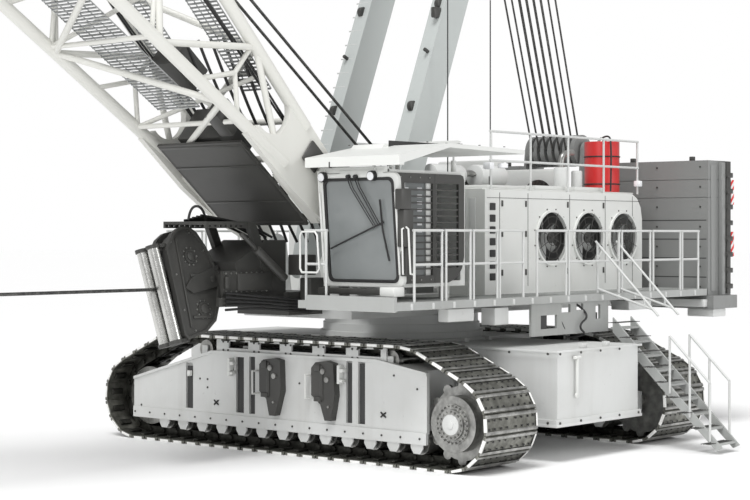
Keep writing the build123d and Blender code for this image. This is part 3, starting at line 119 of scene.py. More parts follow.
class Finish:
    """One material: a Principled shader and the nodes that feed it."""

    def __init__(self, name):
        self.material = bpy.data.materials.new(name)
        self.material.use_nodes = True
        self.nodes = self.material.node_tree.nodes
        self.links = self.material.node_tree.links
        self.shader = self.nodes["Principled BSDF"]

    def node(self, kind, settings, sockets, output=0):
        made = self.nodes.new(kind)
        for key, value in settings.items():
            setattr(made, key, value)
        for key, value in sockets.items():
            self.feed(made.inputs[key], value)
        return Wire(self, made.outputs[output])

    def feed(self, socket, value):
        if isinstance(value, Wire):
            self.links.new(value.socket, socket)
        else:
            socket.default_value = value

    def set(self, **values):
        for name, value in values.items():
            self.feed(self.shader.inputs[name.replace("_", " ")], value)

    def place(self):
        return self.node("ShaderNodeTexCoord", {}, {}, "Object")

    def axis(self, vector, axis):
        """One of the three numbers of a vector."""
        return self.node("ShaderNodeSeparateXYZ", {}, {0: vector}, axis)

    def facing_up(self):
        """How far the surface looks up, from -1 to 1."""
        return self.axis(self.node("ShaderNodeNewGeometry", {}, {}, "Normal"), 2)

    def noise(self, scale, detail=4.0, roughness=0.55, stretch=(1, 1, 1)):
        where = self.node("ShaderNodeMapping", {}, {"Vector": self.place(), "Scale": stretch})
        return self.node(
            "ShaderNodeTexNoise", {}, {"Vector": where, "Scale": scale, "Detail": detail,
                                       "Roughness": roughness}, "Fac")

    def colour(self, factor, first, second):
        """A mix of two colours by a mask."""
        made = self.nodes.new("ShaderNodeMix")
        made.data_type = "RGBA"
        self.feed(made.inputs["Factor"], factor)
        for key, value in ((6, first), (7, second)):
            self.feed(made.inputs[key], value if isinstance(value, Wire) else (*value, 1))
        return Wire(self, made.outputs[2])

    def relief(self, height, strength, distance):
        bump = self.node("ShaderNodeBump", {}, {"Height": height, "Strength": strength,
                                                "Distance": distance})
        self.feed(self.shader.inputs["Normal"], bump)


def toned(colour, share):
    return tuple(min(1, value * share) for value in colour)


def paint(name, clean, dusty, gloss=0.42, dust=0.35):
    """Factory paint with a faint orange-peel, dust that gathers low and thin streaks."""
    f = Finish(name)
    cloud = f.noise(0.7, 5)
    fine = f.noise(9, 6)
    streaks = f.noise(3.2, 5, 0.6, (1, 1, 0.06))
    low = f.axis(f.place(), 2).span(0.2, 5.5, 1.0, 0.25)
    settled = f.facing_up().span(0.3, 0.9) * cloud * 0.35
    grime = ((cloud.span(0.42, 0.72) * 0.6 + streaks.span(0.5, 0.8) * 0.5) * low + settled) * dust
    specks = fine.span(0.66, 0.74) * 0.25 * low
    f.set(Base_Color=f.colour(specks, f.colour(grime, clean, dusty), toned(dusty, 0.55)),
          Roughness=gloss + grime * 0.5 + (fine - 0.5) * 0.08,
          Coat_Weight=0.12, Coat_Roughness=0.25)
    f.relief(fine, 0.05, 0.002)
    return f.material


def steel(name, dark, bright, wear=0.4, rough=0.45, metal=0.85, scale=6.0):
    """Bare or worn steel: mottled, with brighter rubbed patches."""
    f = Finish(name)
    fine = f.noise(scale * 8, 4)
    rubbed = f.noise(scale, 6, 0.62).span(0.5 - wear * 0.25, 0.72)
    pitted = f.colour(fine.span(0.58, 0.75) * 0.4, f.colour(rubbed, dark, bright), toned(dark, 0.45))
    f.set(Base_Color=pitted, Metallic=metal, Roughness=rough + (fine - 0.5) * 0.25)
    f.relief(fine, 0.15, 0.004)
    return f.material


def plain(name, colour, rough, metal=0.0):
    """An even finish with a slight mottle."""
    f = Finish(name)
    cloud = f.noise(5, 5)
    f.set(Base_Color=f.colour(cloud, toned(colour, 0.88), toned(colour, 1.12)),
          Roughness=rough + (cloud - 0.5) * 0.15, Metallic=metal)
    f.relief(f.noise(60, 3), 0.08, 0.002)
    return f.material


def glass(name):
    """Tinted glass with faint smears."""
    f = Finish(name)
    smear = f.noise(1.6, 4)
    f.set(Base_Color=f.colour(smear, (0.25, 0.27, 0.27), (0.33, 0.35, 0.35)),
          Roughness=0.06 + smear * 0.06, Alpha=0.72, IOR=1.5)
    f.material.blend_method = "BLEND"
    return f.material


def stripes(name, first, second):
    """Slanting warning stripes in two colours."""
    f = Finish(name)
    place = f.place()
    band = (f.axis(place, 2) + f.axis(place, 0)).part(0.17) > 0.5
    dirt = f.noise(6, 5)
    f.set(Base_Color=f.colour(dirt.span(0.5, 0.8) * 0.4, f.colour(band, first, second), (0.2, 0.19, 0.18)),
          Roughness=0.35 + dirt * 0.1)
    f.relief(f.noise(40, 3), 0.05, 0.002)
    return f.material


WHITE = paint("white_paint", (0.74, 0.75, 0.73), (0.42, 0.40, 0.36), dust=0.3)
BOOM_WHITE = paint("boom_paint", (0.72, 0.72, 0.68), (0.40, 0.38, 0.33))
MAST_GREY = paint("mast_paint", (0.50, 0.53, 0.52), (0.30, 0.30, 0.28), dust=0.3)
FRAME_GREY = paint("frame_paint", (0.66, 0.67, 0.66), (0.34, 0.33, 0.30), dust=0.4)
RAIL_GREY = paint("rail_paint", (0.60, 0.61, 0.60), (0.35, 0.34, 0.32), dust=0.3)
WEIGHT_GREY = paint("weight_paint", (0.24, 0.245, 0.24), (0.13, 0.13, 0.12), 0.38, 0.5)
DECK_GREY = paint("deck_paint", (0.40, 0.41, 0.40), (0.22, 0.22, 0.20), 0.5, 0.5)
DARK_STEEL = paint("dark_paint", (0.045, 0.045, 0.042), (0.10, 0.095, 0.085), 0.45, 0.5)
TANK_RED = paint("tank_paint", (0.62, 0.03, 0.03), (0.30, 0.05, 0.04), 0.3, 0.3)
SHOE_STEEL = steel("shoe_steel", (0.13, 0.13, 0.115), (0.30, 0.30, 0.27), 0.5, 0.42)
# Near-white and not metallic: worn shoe edges, with a painted highlight on them
EDGE_BRIGHT = steel("worn_edge_and_painted_highlight", (0.82, 0.82, 0.80), (0.95, 0.95, 0.93), 0.8, 0.3, metal=0.0)
LINK_STEEL = steel("link_steel", (0.035, 0.035, 0.03), (0.10, 0.10, 0.09), rough=0.5)
WORN_STEEL = steel("worn_steel", (0.25, 0.25, 0.24), (0.52, 0.52, 0.50), 0.5, 0.35)
BRIGHT_STEEL = steel("bright_steel", (0.55, 0.55, 0.53), (0.75, 0.75, 0.73), rough=0.25, scale=3)
ROPE_STEEL = steel("rope_steel", (0.06, 0.06, 0.06), (0.16, 0.16, 0.15), rough=0.5, scale=14)
BUCKET_STEEL = steel("bucket_steel", (0.16, 0.14, 0.12), (0.38, 0.35, 0.31), rough=0.5, scale=2)
GRATING_GREY = steel("grating_zinc", (0.30, 0.31, 0.31), (0.55, 0.56, 0.56), rough=0.4, scale=9)
BLACK = plain("black_plastic", (0.02, 0.02, 0.02), 0.5)
FAN_GREY = plain("fan_alloy", (0.45, 0.46, 0.45), 0.4, 0.2)
CLOTH = plain("seat_cloth", (0.03, 0.03, 0.035), 0.85)
# Near-black for dark joints and seams, and for painted shade in recesses and openings
SHADE = plain("dark_joints_and_painted_shade", (0.05, 0.05, 0.05), 0.7)
# Flat white for lamp lenses, and for the painted light behind the cab's side guard
LAMP_WHITE = plain("lamp_lens_and_painted_light", (0.85, 0.86, 0.88), 0.12)
GLASS = glass("cab_glass")
PANE_GREY = glass("windshield_glass")
HAZARD = stripes("hazard_stripes", (0.75, 0.02, 0.02), (0.85, 0.85, 0.85))

NODE_FINISHES = {
    WHITE: ("machine_house_left", "machine_house_right", "cab_shell", "cab_canopy"),
    MAST_GREY: ("luffing_mast",),
    BOOM_WHITE: ("boom_foot_section", "boom_middle_section", "boom_head_section"),
    FRAME_GREY: ("crawler_frame_front", "crawler_frame_rear", "carbody", "carbody_ballast_left",
                 "carbody_ballast_right", "upper_frame", "slew_ring_lower", "slew_ring_upper"),
    RAIL_GREY: ("railing_left", "railing_right", "stair_handrail_lower"),
    WEIGHT_GREY: ("counterweight_base", "counterweight_left", "counterweight_right",
                  "counterweight_centre", "winch_frames", "luffing_sheave_block"),
    DECK_GREY: ("walkway_left", "walkway_right", "access_stair"),
    DARK_STEEL: ("crawler_brackets", "cab_door", "cab_side_guard", "boom_foot_guard",
                 "fairlead_frame", "fairlead_head", "fairlead_sheave_upper",
                 "fairlead_sheave_lower", "engine", "radiators"),
    TANK_RED: ("fire_tank",),
    SHOE_STEEL: ("track_front", "track_rear"),
    WORN_STEEL: ("track_wheels_front", "track_wheels_rear", "boom_head_sheaves"),
    BRIGHT_STEEL: ("fairlead_rollers",),
    ROPE_STEEL: ("hoist_rope", "boom_pendants", "hoist_chains", "drag_chain", "hoist_drum",
                 "drag_drum", "luffing_drum"),
    BUCKET_STEEL: ("bucket_shell", "bucket_teeth"),
    FAN_GREY: ("radiator_fan_1", "radiator_fan_2", "radiator_fan_3"),
    CLOTH: ("cab_seat",),
    GLASS: ("cab_glass",),
}


def finish_nodes():
    for material, names in NODE_FINISHES.items():
        for name in names:
            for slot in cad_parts[name].material_slots:
                slot.material = material


finish_nodes()


# Modelling helpers: each leaves one mesh at the origin, with its place in its vertices

SHARP_ANGLE = math.radians(35)
PIPE_SMOOTH_ANGLE = math.radians(40)
MERGE_DISTANCE = 0.00001


def deselect():
    if bpy.context.object and bpy.context.object.mode != "OBJECT":
        bpy.ops.object.mode_set(mode="OBJECT")
    bpy.ops.object.select_all(action="DESELECT")


def choose(piece):
    deselect()
    piece.select_set(True)
    bpy.context.view_layer.objects.active = piece


def settle(piece):
    """Puts the piece's place, turn and size into its mesh."""
    choose(piece)
    bpy.ops.object.transform_apply(location=True, rotation=True, scale=True)


def soften(piece, width, segments=2):
    """Bevels the piece's sharp edges and shades it."""
    choose(piece)
    bevel = piece.modifiers.new("edges", "BEVEL")
    bevel.width = width
    bevel.segments = segments
    bevel.limit_method = "ANGLE"
    bevel.angle_limit = SHARP_ANGLE
    bpy.ops.object.modifier_apply(modifier="edges")
    bpy.ops.object.shade_smooth_by_angle(angle=SHARP_ANGLE)


def face_out(piece):
    choose(piece)
    bpy.ops.object.mode_set(mode="EDIT")
    bpy.ops.mesh.select_all(action="SELECT")
    bpy.ops.mesh.remove_doubles(threshold=MERGE_DISTANCE)
    bpy.ops.mesh.normals_make_consistent(inside=False)
    bpy.ops.object.mode_set(mode="OBJECT")


def hand_over(piece, name, material, body="upper_works", *nodes):
    """Names the piece, gives it its finish and the body that it rides on."""
    piece.name = name
    piece.data.name = name
    piece.data.materials.clear()
    piece.data.materials.append(material)
    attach(piece, body)
    if nodes:
        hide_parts(*nodes)


def add_all(add_one, items, bevel):
    """Adds each item's primitive to one mesh, settles it and bevels its edges."""
    deselect()
    for index, item in enumerate(items):
        if index == 1:
            bpy.ops.object.mode_set(mode="EDIT")
        add_one(*item)
    if bpy.context.object.mode == "EDIT":
        bpy.ops.object.mode_set(mode="OBJECT")
    piece = bpy.context.object
    settle(piece)
    if bevel:
        soften(piece, bevel)
    return piece


def blocks(boxes, bevel=0.008):
    """Bevelled blocks from their lowest and highest corners, as one mesh."""
    def add_block(low, high):
        middle = [(a + b) / 2 for a, b in zip(low, high)]
        size = [abs(b - a) for a, b in zip(low, high)]
        bpy.ops.mesh.primitive_cube_add(size=1, location=middle, scale=size)

    return add_all(add_block, boxes, bevel)


def discs(rounds, bevel=0.006, sides=24):
    """Bevelled round pieces from both ends of their axis and their radius, as one mesh."""
    def add_disc(start, end, radius):
        start, end = Vector(start), Vector(end)
        turn = (end - start).to_track_quat("Z", "Y").to_euler()
        bpy.ops.mesh.primitive_cylinder_add(
            vertices=sides, radius=radius, depth=(end - start).length,
            location=(start + end) / 2, rotation=turn)

    return add_all(add_disc, rounds, bevel)


def outline(points, fill="NGON"):
    """A flat piece through the points, to be thickened."""
    deselect()
    bpy.ops.mesh.primitive_circle_add(vertices=len(points), fill_type=fill)
    piece = bpy.context.object
    for vertex, point in zip(piece.data.vertices, points):
        vertex.co = point
    return piece


def thicken(piece, step):
    """Extrudes all of a flat piece by a step, and faces it outwards."""
    bpy.ops.object.mode_set(mode="EDIT")
    bpy.ops.mesh.select_all(action="SELECT")
    bpy.ops.mesh.extrude_region_move(TRANSFORM_OT_translate={"value": step})
    bpy.ops.object.mode_set(mode="OBJECT")
    face_out(piece)


def pipes(runs, radius, sides=3, smooth=False):
    """Round bars or hoses through each run's points, as one mesh."""
    deselect()
    curve = bpy.data.curves.new("pipes", "CURVE")
    curve.dimensions = "3D"
    curve.bevel_depth = radius
    curve.bevel_resolution = sides
    curve.use_fill_caps = True
    curve.resolution_u = 6
    for points in runs:
        spline = curve.splines.new("NURBS" if smooth else "POLY")
        spline.points.add(len(points) - 1)
        for control, point in zip(spline.points, points):
            control.co = (*point, 1)
        if smooth:
            spline.order_u = 3
            spline.use_endpoint_u = True
    piece = bpy.data.objects.new("pipes", curve)
    bpy.context.collection.objects.link(piece)
    choose(piece)
    bpy.ops.object.convert(target="MESH")
    piece = bpy.context.object
    bpy.ops.object.shade_smooth_by_angle(angle=PIPE_SMOOTH_ANGLE)
    return piece


def copies(master, places):
    """One mesh that holds the master's copy at each matrix; the master goes."""
    joined = bmesh.new()
    for place in places:
        mesh = master.data.copy()
        mesh.transform(place)
        joined.from_mesh(mesh)
        bpy.data.meshes.remove(mesh)
    mesh = bpy.data.meshes.new("copies")
    joined.to_mesh(mesh)
    joined.free()
    piece = bpy.data.objects.new("copies", mesh)
    bpy.context.collection.objects.link(piece)
    bpy.data.objects.remove(master)
    return piece


def join(pieces):
    """Joins meshes into the first of them."""
    deselect()
    for piece in pieces:
        piece.select_set(True)
    bpy.context.view_layer.objects.active = pieces[0]
    bpy.ops.object.join()
    return bpy.context.object


def circle(centre, radius, axis, count, first=0.0):
    """Points round a centre, square to a main axis (0, 1 or 2)."""
    along, over = [k for k in range(3) if k != axis]
    points = []
    for k in range(count):
        angle = first + 2 * math.pi * k / count
        point = list(centre)
        point[along] += radius * math.cos(angle)
        point[over] += radius * math.sin(angle)
        points.append(point)
    return points


def hoop(centre, radius, axis):
    """A closed run of points round a centre."""
    points = circle(centre, radius, axis, 24)
    return points + points[:1]


def facing(points, out):
    """Each point with the direction that its bolt looks to."""
    return [(point, out) for point in points]


def bolt_heads(places, radius=0.02, height=0.014):
    """Hexagon heads at (place, outward direction) pairs, as one mesh."""
    deselect()
    bpy.ops.mesh.primitive_cylinder_add(vertices=6, radius=radius, depth=height,
                                        location=(0, 0, height / 2))
    head = bpy.context.object
    settle(head)
    matrices = []
    for place, out in places:
        turn = Vector(out).to_track_quat("Z", "Y").to_matrix().to_4x4()
        matrices.append(Matrix.Translation(Vector(place)) @ turn)
    return copies(head, matrices)


# Crawler shoes: the same outline as the CAD track, one shoe for each link

END_WHEEL = 3.8
END_RADIUS = 0.78
TRACK_TOP = 2.02
TOP_RUN_HALF = 2.85
TOP_BEND = 0.5
SHOE_COUNT = 56
SHOE_GAP = 0.026
SHOE_WIDTH = 1.4
SHOE_HALF = SHOE_WIDTH / 2
CRAWLER_X = 2.69


def track_runs():
    """The outline's arcs and straights as (length, point function) pairs in Y and Z."""
    top_centre = TRACK_TOP - TOP_BEND
    across = END_WHEEL - TOP_RUN_HALF
    down = top_centre - END_RADIUS
    reach = math.hypot(across, down)
    straight = math.sqrt(reach ** 2 - (END_RADIUS - TOP_BEND) ** 2)
    tangent = math.pi / 2 - math.atan2(down, across) - math.atan2(TOP_BEND - END_RADIUS, straight)
    arcs = [
        (END_WHEEL, END_RADIUS, END_RADIUS, -math.pi / 2, tangent),
        (TOP_RUN_HALF, top_centre, TOP_BEND, tangent, math.pi / 2),
        (-TOP_RUN_HALF, top_centre, TOP_BEND, math.pi / 2, math.pi - tangent),
        (-END_WHEEL, END_RADIUS, END_RADIUS, math.pi - tangent, 1.5 * math.pi),
    ]
    runs = []
    for index, (y, z, radius, start, end) in enumerate(arcs):
        def on_arc(s, y=y, z=z, radius=radius, start=start):
            angle = start + s / radius
            return y + radius * math.cos(angle), z + radius * math.sin(angle)

        runs.append((radius * (end - start), on_arc))
        y2, z2, radius2, start2, _ = arcs[(index + 1) % len(arcs)]
        p = (y + radius * math.cos(end), z + radius * math.sin(end))
        q = (y2 + radius2 * math.cos(start2), z2 + radius2 * math.sin(start2))
        length = math.dist(p, q)

        def on_line(s, p=p, q=q, length=length):
            share = s / length
            return p[0] + (q[0] - p[0]) * share, p[1] + (q[1] - p[1]) * share

        runs.append((length, on_line))
    return runs


TRACK_RUNS = track_runs()
TRACK_LENGTH = sum(length for length, _ in TRACK_RUNS)
SHOE_PITCH = TRACK_LENGTH / SHOE_COUNT
SHOE_LENGTH = SHOE_PITCH - SHOE_GAP
SHOE_REACH = SHOE_LENGTH / 2


def track_point(s):
    s %= TRACK_LENGTH
    for length, place in TRACK_RUNS:
        if s <= length:
            return place(s)
        s -= length
    return TRACK_RUNS[0][1](0)


def shoe_places(x):
    """A matrix for each shoe: X across the shoe, Y along the loop, Z inwards."""
    places = []
    for shoe in range(SHOE_COUNT):
        start = track_point(shoe * SHOE_PITCH + SHOE_GAP / 2)
        end = track_point((shoe + 1) * SHOE_PITCH - SHOE_GAP / 2)
        run = Vector((0, end[0] - start[0], end[1] - start[1])).normalized()
        inwards = Vector((1, 0, 0)).cross(run)
        middle = Vector((x, (start[0] + end[0]) / 2, (start[1] + end[1]) / 2))
        turn = Matrix((Vector((1, 0, 0)), run, inwards)).transposed()
        places.append(Matrix.Translation(middle) @ turn.to_4x4())
    return places


def shoe_pad():
    """One shoe: a plate whose outer face is sunk inside its rim."""
    deselect()
    bpy.ops.mesh.primitive_cube_add(size=1, location=(0, 0, 0.032),
                                    scale=(SHOE_WIDTH, SHOE_LENGTH, 0.052))
    pad = bpy.context.object
    settle(pad)
    bpy.ops.object.mode_set(mode="EDIT")
    mesh = bmesh.from_edit_mesh(pad.data)
    for face in mesh.faces:
        face.select_set(face.normal.z < -0.5)
    bmesh.update_edit_mesh(pad.data)
    bpy.ops.mesh.inset(thickness=0.045, depth=-0.02)
    bpy.ops.object.mode_set(mode="OBJECT")
    soften(pad, 0.006, 1)
    return pad


def shoe_bars():
    """The worn grouser bars along both edges of one shoe's outer face."""
    near, far = 0.012, 0.062
    return blocks([
        ((-SHOE_HALF, -SHOE_REACH + near, 0.0), (SHOE_HALF, -SHOE_REACH + far, near)),
        ((-SHOE_HALF, SHOE_REACH - far, 0.0), (SHOE_HALF, SHOE_REACH - near, near)),
    ], 0.004)


def shoe_edge_highlights():
    """Bright strips along both ends of one shoe: partly worn steel, partly a painted highlight in flat white.
    """
    reach = SHOE_LENGTH * 0.32
    strips = blocks([((side * SHOE_HALF - 0.01, -reach, 0.002), (side * SHOE_HALF + 0.006, reach, 0.045))
                     for side in (-1, 1)], 0.003)
    rims = blocks([((side * (SHOE_HALF - 0.02) - 0.012, -reach, 0.0),
                    (side * (SHOE_HALF - 0.02) + 0.012, reach, 0.008)) for side in (-1, 1)], 0.002)
    return join([strips, rims])


def shoe_bolts():
    """Four pairs of bolt heads on each side of one shoe's outer face."""
    return bolt_heads(facing([(side * x, y, 0.014) for side in (-1, 1) for x in (0.12, 0.28, 0.45, 0.6)
                              for y in (-0.07, 0.07)], (0, 0, -1)), 0.02, 0.01)


def chain_link():
    """One link inside the shoes: two rails, a pin boss, two ears and the drive lug."""
    plate = 0.056
    rails = [((side * 0.17 - 0.055, -SHOE_REACH, plate), (side * 0.17 + 0.055, SHOE_REACH, 0.2))
             for side in (-1, 1)]
    lug = [((-0.09, -0.07, plate), (0.09, 0.07, 0.205))]
    ears = [((side * 0.47 - 0.13, -0.05, plate), (side * 0.47 + 0.13, 0.06, 0.1)) for side in (-1, 1)]
    pin = discs([((-0.255, -SHOE_REACH, 0.13), (0.255, -SHOE_REACH, 0.13), 0.05)], 0.005, 12)
    return join([blocks(rails + lug + ears, 0.012), pin])


# The edge strips carry a painted highlight on the shoe ends
SHOE_PIECES = (("grousers", shoe_bars, WORN_STEEL), ("edges", shoe_edge_highlights, EDGE_BRIGHT),
               ("bolts", shoe_bolts, BLACK), ("links", chain_link, LINK_STEEL))


def lay_tracks():
    for name, x in (("front", CRAWLER_X), ("rear", -CRAWLER_X)):
        places = shoe_places(x)
        hand_over(copies(shoe_pad(), places), f"track_shoes_{name}", SHOE_STEEL, "undercarriage",
                  f"track_{name}")
        for kind, make, material in SHOE_PIECES:
            hand_over(copies(make(), places), f"track_{kind}_{name}", material, "undercarriage")


lay_tracks()


# Ropes

DRAG_LEVEL = 2.95
ROPE_RADIUS = 0.027
LUFFING_ROPE_RADIUS = 0.02
ROPE_Y = 0.18
HEAD_SHEAVE = Vector((25.265, 0, 22.783))
MAST_HEAD = Vector((-2.6, 0, 13.8))
REAR_BLOCK = Vector((-5.12, 0, 5.6))
LUFFING_FALLS = 6


def rope(name, start, end, radius=ROPE_RADIUS, steps=24):
    """A taut, straight rope between two points, as a named mesh."""
    start, end = Vector(start), Vector(end)
    points = [start.lerp(end, k / steps) for k in range(steps + 1)]
    piece = pipes([points], radius, 4)
    piece.name = name
    piece.data.name = name
    piece.data.materials.append(ROPE_STEEL)
    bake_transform(piece)


def string_ropes():
    chain_start = float(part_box("drag_chain")[0][0])
    rope("drag_rope", (4.2, 0, DRAG_LEVEL), (chain_start + 0.05, 0, DRAG_LEVEL))
    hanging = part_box("hoist_rope")[0]
    chains_top = float(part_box("hoist_chains")[1][2])
    for name, y in (("right", -ROPE_Y), ("left", ROPE_Y)):
        low = (float(hanging[0]) + 0.04, y, float(hanging[2]) + 0.03)
        rope(f"lower_hoist_rope_{name}", low, (20.05, y, chains_top - 0.05))
        rope(f"hoist_rope_{name}", (0.04, y, 4.72), (HEAD_SHEAVE.x - 0.37, y, HEAD_SHEAVE.z + 0.5))
    for index in range(LUFFING_FALLS):
        place = index - (LUFFING_FALLS - 1) / 2
        for name, side in (("back", -1), ("front", 1)):
            rope(f"luffing_rope_{index}_{name}",
                 (REAR_BLOCK.x + side * 0.26, place * 0.17, REAR_BLOCK.z),
                 (MAST_HEAD.x + side * 0.3, place * 0.19, MAST_HEAD.z),
                 LUFFING_ROPE_RADIUS, 12)


string_ropes()


# Fittings on the outer face of each crawler frame

FRAME_FACE = 3.16
PANEL_FACE = 3.19
BRACKET_FACE = 3.2
LIP_FACE = 3.216
SLOTS = ((-2.53, -2.34), (-1.22, -1.02), (-0.89, -0.74), (1.43, 1.57), (1.70, 1.86))


def dress_crawler(side, name):
    def out(x, y, z):
        return side * x, y, z

    # Dark sheets inside the frame's recesses: painted shade
    recess_shade_sheets = [(out(FRAME_FACE - 0.002, low + 0.02, 0.62),
               out(FRAME_FACE + 0.002, high - 0.02, 1.66 if high > -2 else 1.42)) for low, high in SLOTS]
    hand_over(blocks(recess_shade_sheets, 0.001), f"crawler_slot_painted_shade_{name}", SHADE, "undercarriage")
    crosses = [[out(PANEL_FACE + 0.005, y - 0.055, z - turn * 0.04), out(PANEL_FACE + 0.02, y, z),
                out(PANEL_FACE + 0.005, y + 0.055, z + turn * 0.04)]
               for y, z in ((-1.72, 0.79), (2.27, 0.83)) for turn in (-1, 1)]
    hand_over(pipes(crosses, 0.014, 2), f"crawler_cleats_{name}", BLACK, "undercarriage")
    handles = [[out(BRACKET_FACE, y - 0.02, 1.02), out(3.33, y - 0.05, 1.02),
                out(3.33, y - 0.05, 1.42), out(BRACKET_FACE, y - 0.02, 1.42)] for y in (-0.62, 0.66)]
    hand_over(pipes(handles, 0.022, 4), f"crawler_handles_{name}", WHITE, "undercarriage")
    lugs = []
    for y in (-1.33, 1.32):
        for near, far, low, high in ((0, 0.06, 1.30, 1.62), (0.06, 0.14, 1.50, 1.56),
                                     (0.06, 0.12, 1.33, 1.38)):
            lugs.append((out(BRACKET_FACE, y + near, low), out(3.31, y + far, high)))
    lugs.append((out(BRACKET_FACE, -2.42, 1.24), out(3.27, -2.35, 1.34)))
    hand_over(blocks(lugs), f"crawler_lugs_{name}", WHITE, "undercarriage")
    bolts = [out(LIP_FACE, -3.9 + 0.41 * k, 0.49) for k in range(19)]
    bolts += [out(FRAME_FACE + 0.001, -1.62 + 0.78 * k + step, z)
              for k in range(5) for step in (0.05, 0.17) for z in (1.75, 1.9)]
    bolts += [out(PANEL_FACE + 0.001, y, z) for y, z in (
        (-3.8, 1.25), (-3.75, 0.62), (-1.95, 1.2), (-1.95, 1.05), (-2.15, 1.2), (0.35, 1.25), (2.5, 1.5),
        (3.0, 1.3))]
    hand_over(bolt_heads(facing(bolts, (side, 0, 0)), 0.019), f"crawler_bolts_{name}", DARK_STEEL,
              "undercarriage")
    pins = [(out(PANEL_FACE, y, 0.9), out(3.35, y, 0.9), 0.022) for y in (-0.15, 1.15)]
    pins += [(out(3.25, y, z), out(3.36, y, z), 0.05)
             for y, z in ((-0.13, 1.36), (1.12, 1.36), (-0.22, 1.5), (1.03, 1.5))]
    hand_over(discs(pins, 0.004, 16), f"crawler_pins_{name}", WORN_STEEL, "undercarriage")
    ribs = []
    for y in (-0.32, 0.95):
        ribs += [(out(3.33, y, 1.0), out(3.345, y + 0.08, 1.6)),
                 (out(3.33, y - 0.12, 0.98), out(3.36, y + 0.05, 1.06)),
                 (out(3.33, y - 0.1, 1.5), out(3.365, y + 0.02, 1.62))]
    hand_over(blocks(ribs), f"bracket_ribs_{name}", DARK_STEEL, "undercarriage")


def dress_drive(side, name):
    """Bolt circles and the round cap over the drive's hub, at the sprocket."""
    def hub(x):
        return side * x, END_WHEEL, END_RADIUS

    bolts = []
    for count, radius, x in ((24, 0.30, 3.305), (16, 0.21, 3.335)):
        bolts += facing(circle(hub(x), radius, 0, count), (side, 0, 0))
    hand_over(bolt_heads(bolts, 0.02, 0.02), f"drive_bolts_{name}", WORN_STEEL, "undercarriage")
    rings = [(hub(3.27), hub(3.338), 0.17), (hub(3.27), hub(3.352), 0.07)]
    hand_over(discs(rings, 0.012, 32), f"drive_cap_{name}", FRAME_GREY, "undercarriage")


for crawler_name, crawler_side in (("front", 1), ("rear", -1)):
    dress_crawler(crawler_side, crawler_name)
    dress_drive(crawler_side, crawler_name)


def dress_ballast():
    """Lifting post, edge strips, bolts and lugs on the left end block's outer faces."""
    post = discs([((0.73, 4.47, 1.12), (0.73, 4.5, 1.12), 0.05),
                  ((0.73, 4.49, 1.12), (0.73, 4.49, 1.78), 0.028),
                  ((0.64, 4.49, 1.76), (0.82, 4.49, 1.76), 0.03)], 0.006, 16)
    hand_over(post, "ballast_post_left", WHITE, "undercarriage")
    bolts = facing([(x, 4.471, z) for x in (-1.22, -0.6, 0.0, 0.6, 1.22) for z in (0.68, 1.84)], (0, 1, 0))
    bolts += facing([(1.321, y, z) for y in (1.9, 2.7, 3.5, 4.3) for z in (0.68, 1.84)], (1, 0, 0))
    hand_over(bolt_heads(bolts, 0.022, 0.016), "ballast_bolts_left", DARK_STEEL, "undercarriage")
    lugs = [((x, y, 1.9), (x + 0.12, y + 0.1, 1.98)) for y in (4.3, 1.75) for x in (0.3, -0.42)]
    hand_over(blocks(lugs, 0.01), "ballast_lugs_left", FRAME_GREY, "undercarriage")
    strips = [(low, (x, 4.485, high)) for side, x in (((-1.33, 4.47), 1.33), ((1.32, 1.62), 1.333))
              for low, high in (((*side, 1.86), 1.9), ((*side, 0.61), 0.66))]
    hand_over(blocks(strips, 0.004), "ballast_edge_strips_left", FRAME_GREY, "undercarriage")


dress_ballast()


# Cab

PANE_MIDDLE = Vector((3.865, 2.23, 3.92))
PANE_LEAN = math.radians(5.06)
PANE_UP = Vector((math.sin(PANE_LEAN), 0, math.cos(PANE_LEAN)))
PANE_OUT = Vector((math.cos(PANE_LEAN), 0, -math.sin(PANE_LEAN)))
FRONT_SHIFT = 0.17
CORNER_STEPS = 6


def on_pane(y, up, out=0.0):
    """A point of the windshield: y from its middle, up along it, out in front of it."""
    return PANE_MIDDLE + Vector((0, y + FRONT_SHIFT, 0)) + PANE_UP * up + PANE_OUT * out


def rounded(half_y, half_up, radius):
    """The corners' points of a rounded rectangle round the windshield's middle."""
    corners = []
    for cy, cu, start in ((1, 1, 0), (-1, 1, 90), (-1, -1, 180), (1, -1, 270)):
        for k in range(CORNER_STEPS + 1):
            angle = math.radians(start + 90 * k / CORNER_STEPS)
            corners.append((cy * (half_y - radius) + radius * math.cos(angle),
                            cu * (half_up - radius) + radius * math.sin(angle)))
    return corners


def pane_ring(name, outer, inner, low, high, material):
    """A rounded frame on the windshield's plane, between two distances in front of it."""
    piece = outline([on_pane(y, up, low) for y, up in outer], "NOTHING")
    bpy.ops.object.mode_set(mode="EDIT")
    bpy.ops.mesh.select_all(action="SELECT")
    bpy.ops.mesh.extrude_edges_move()
    bpy.ops.object.mode_set(mode="OBJECT")
    for vertex, (y, up) in zip(list(piece.data.vertices)[len(outer):], inner):
        vertex.co = on_pane(y, up, low)
    thicken(piece, PANE_OUT * (high - low))
    soften(piece, 0.006)
    hand_over(piece, name, material)


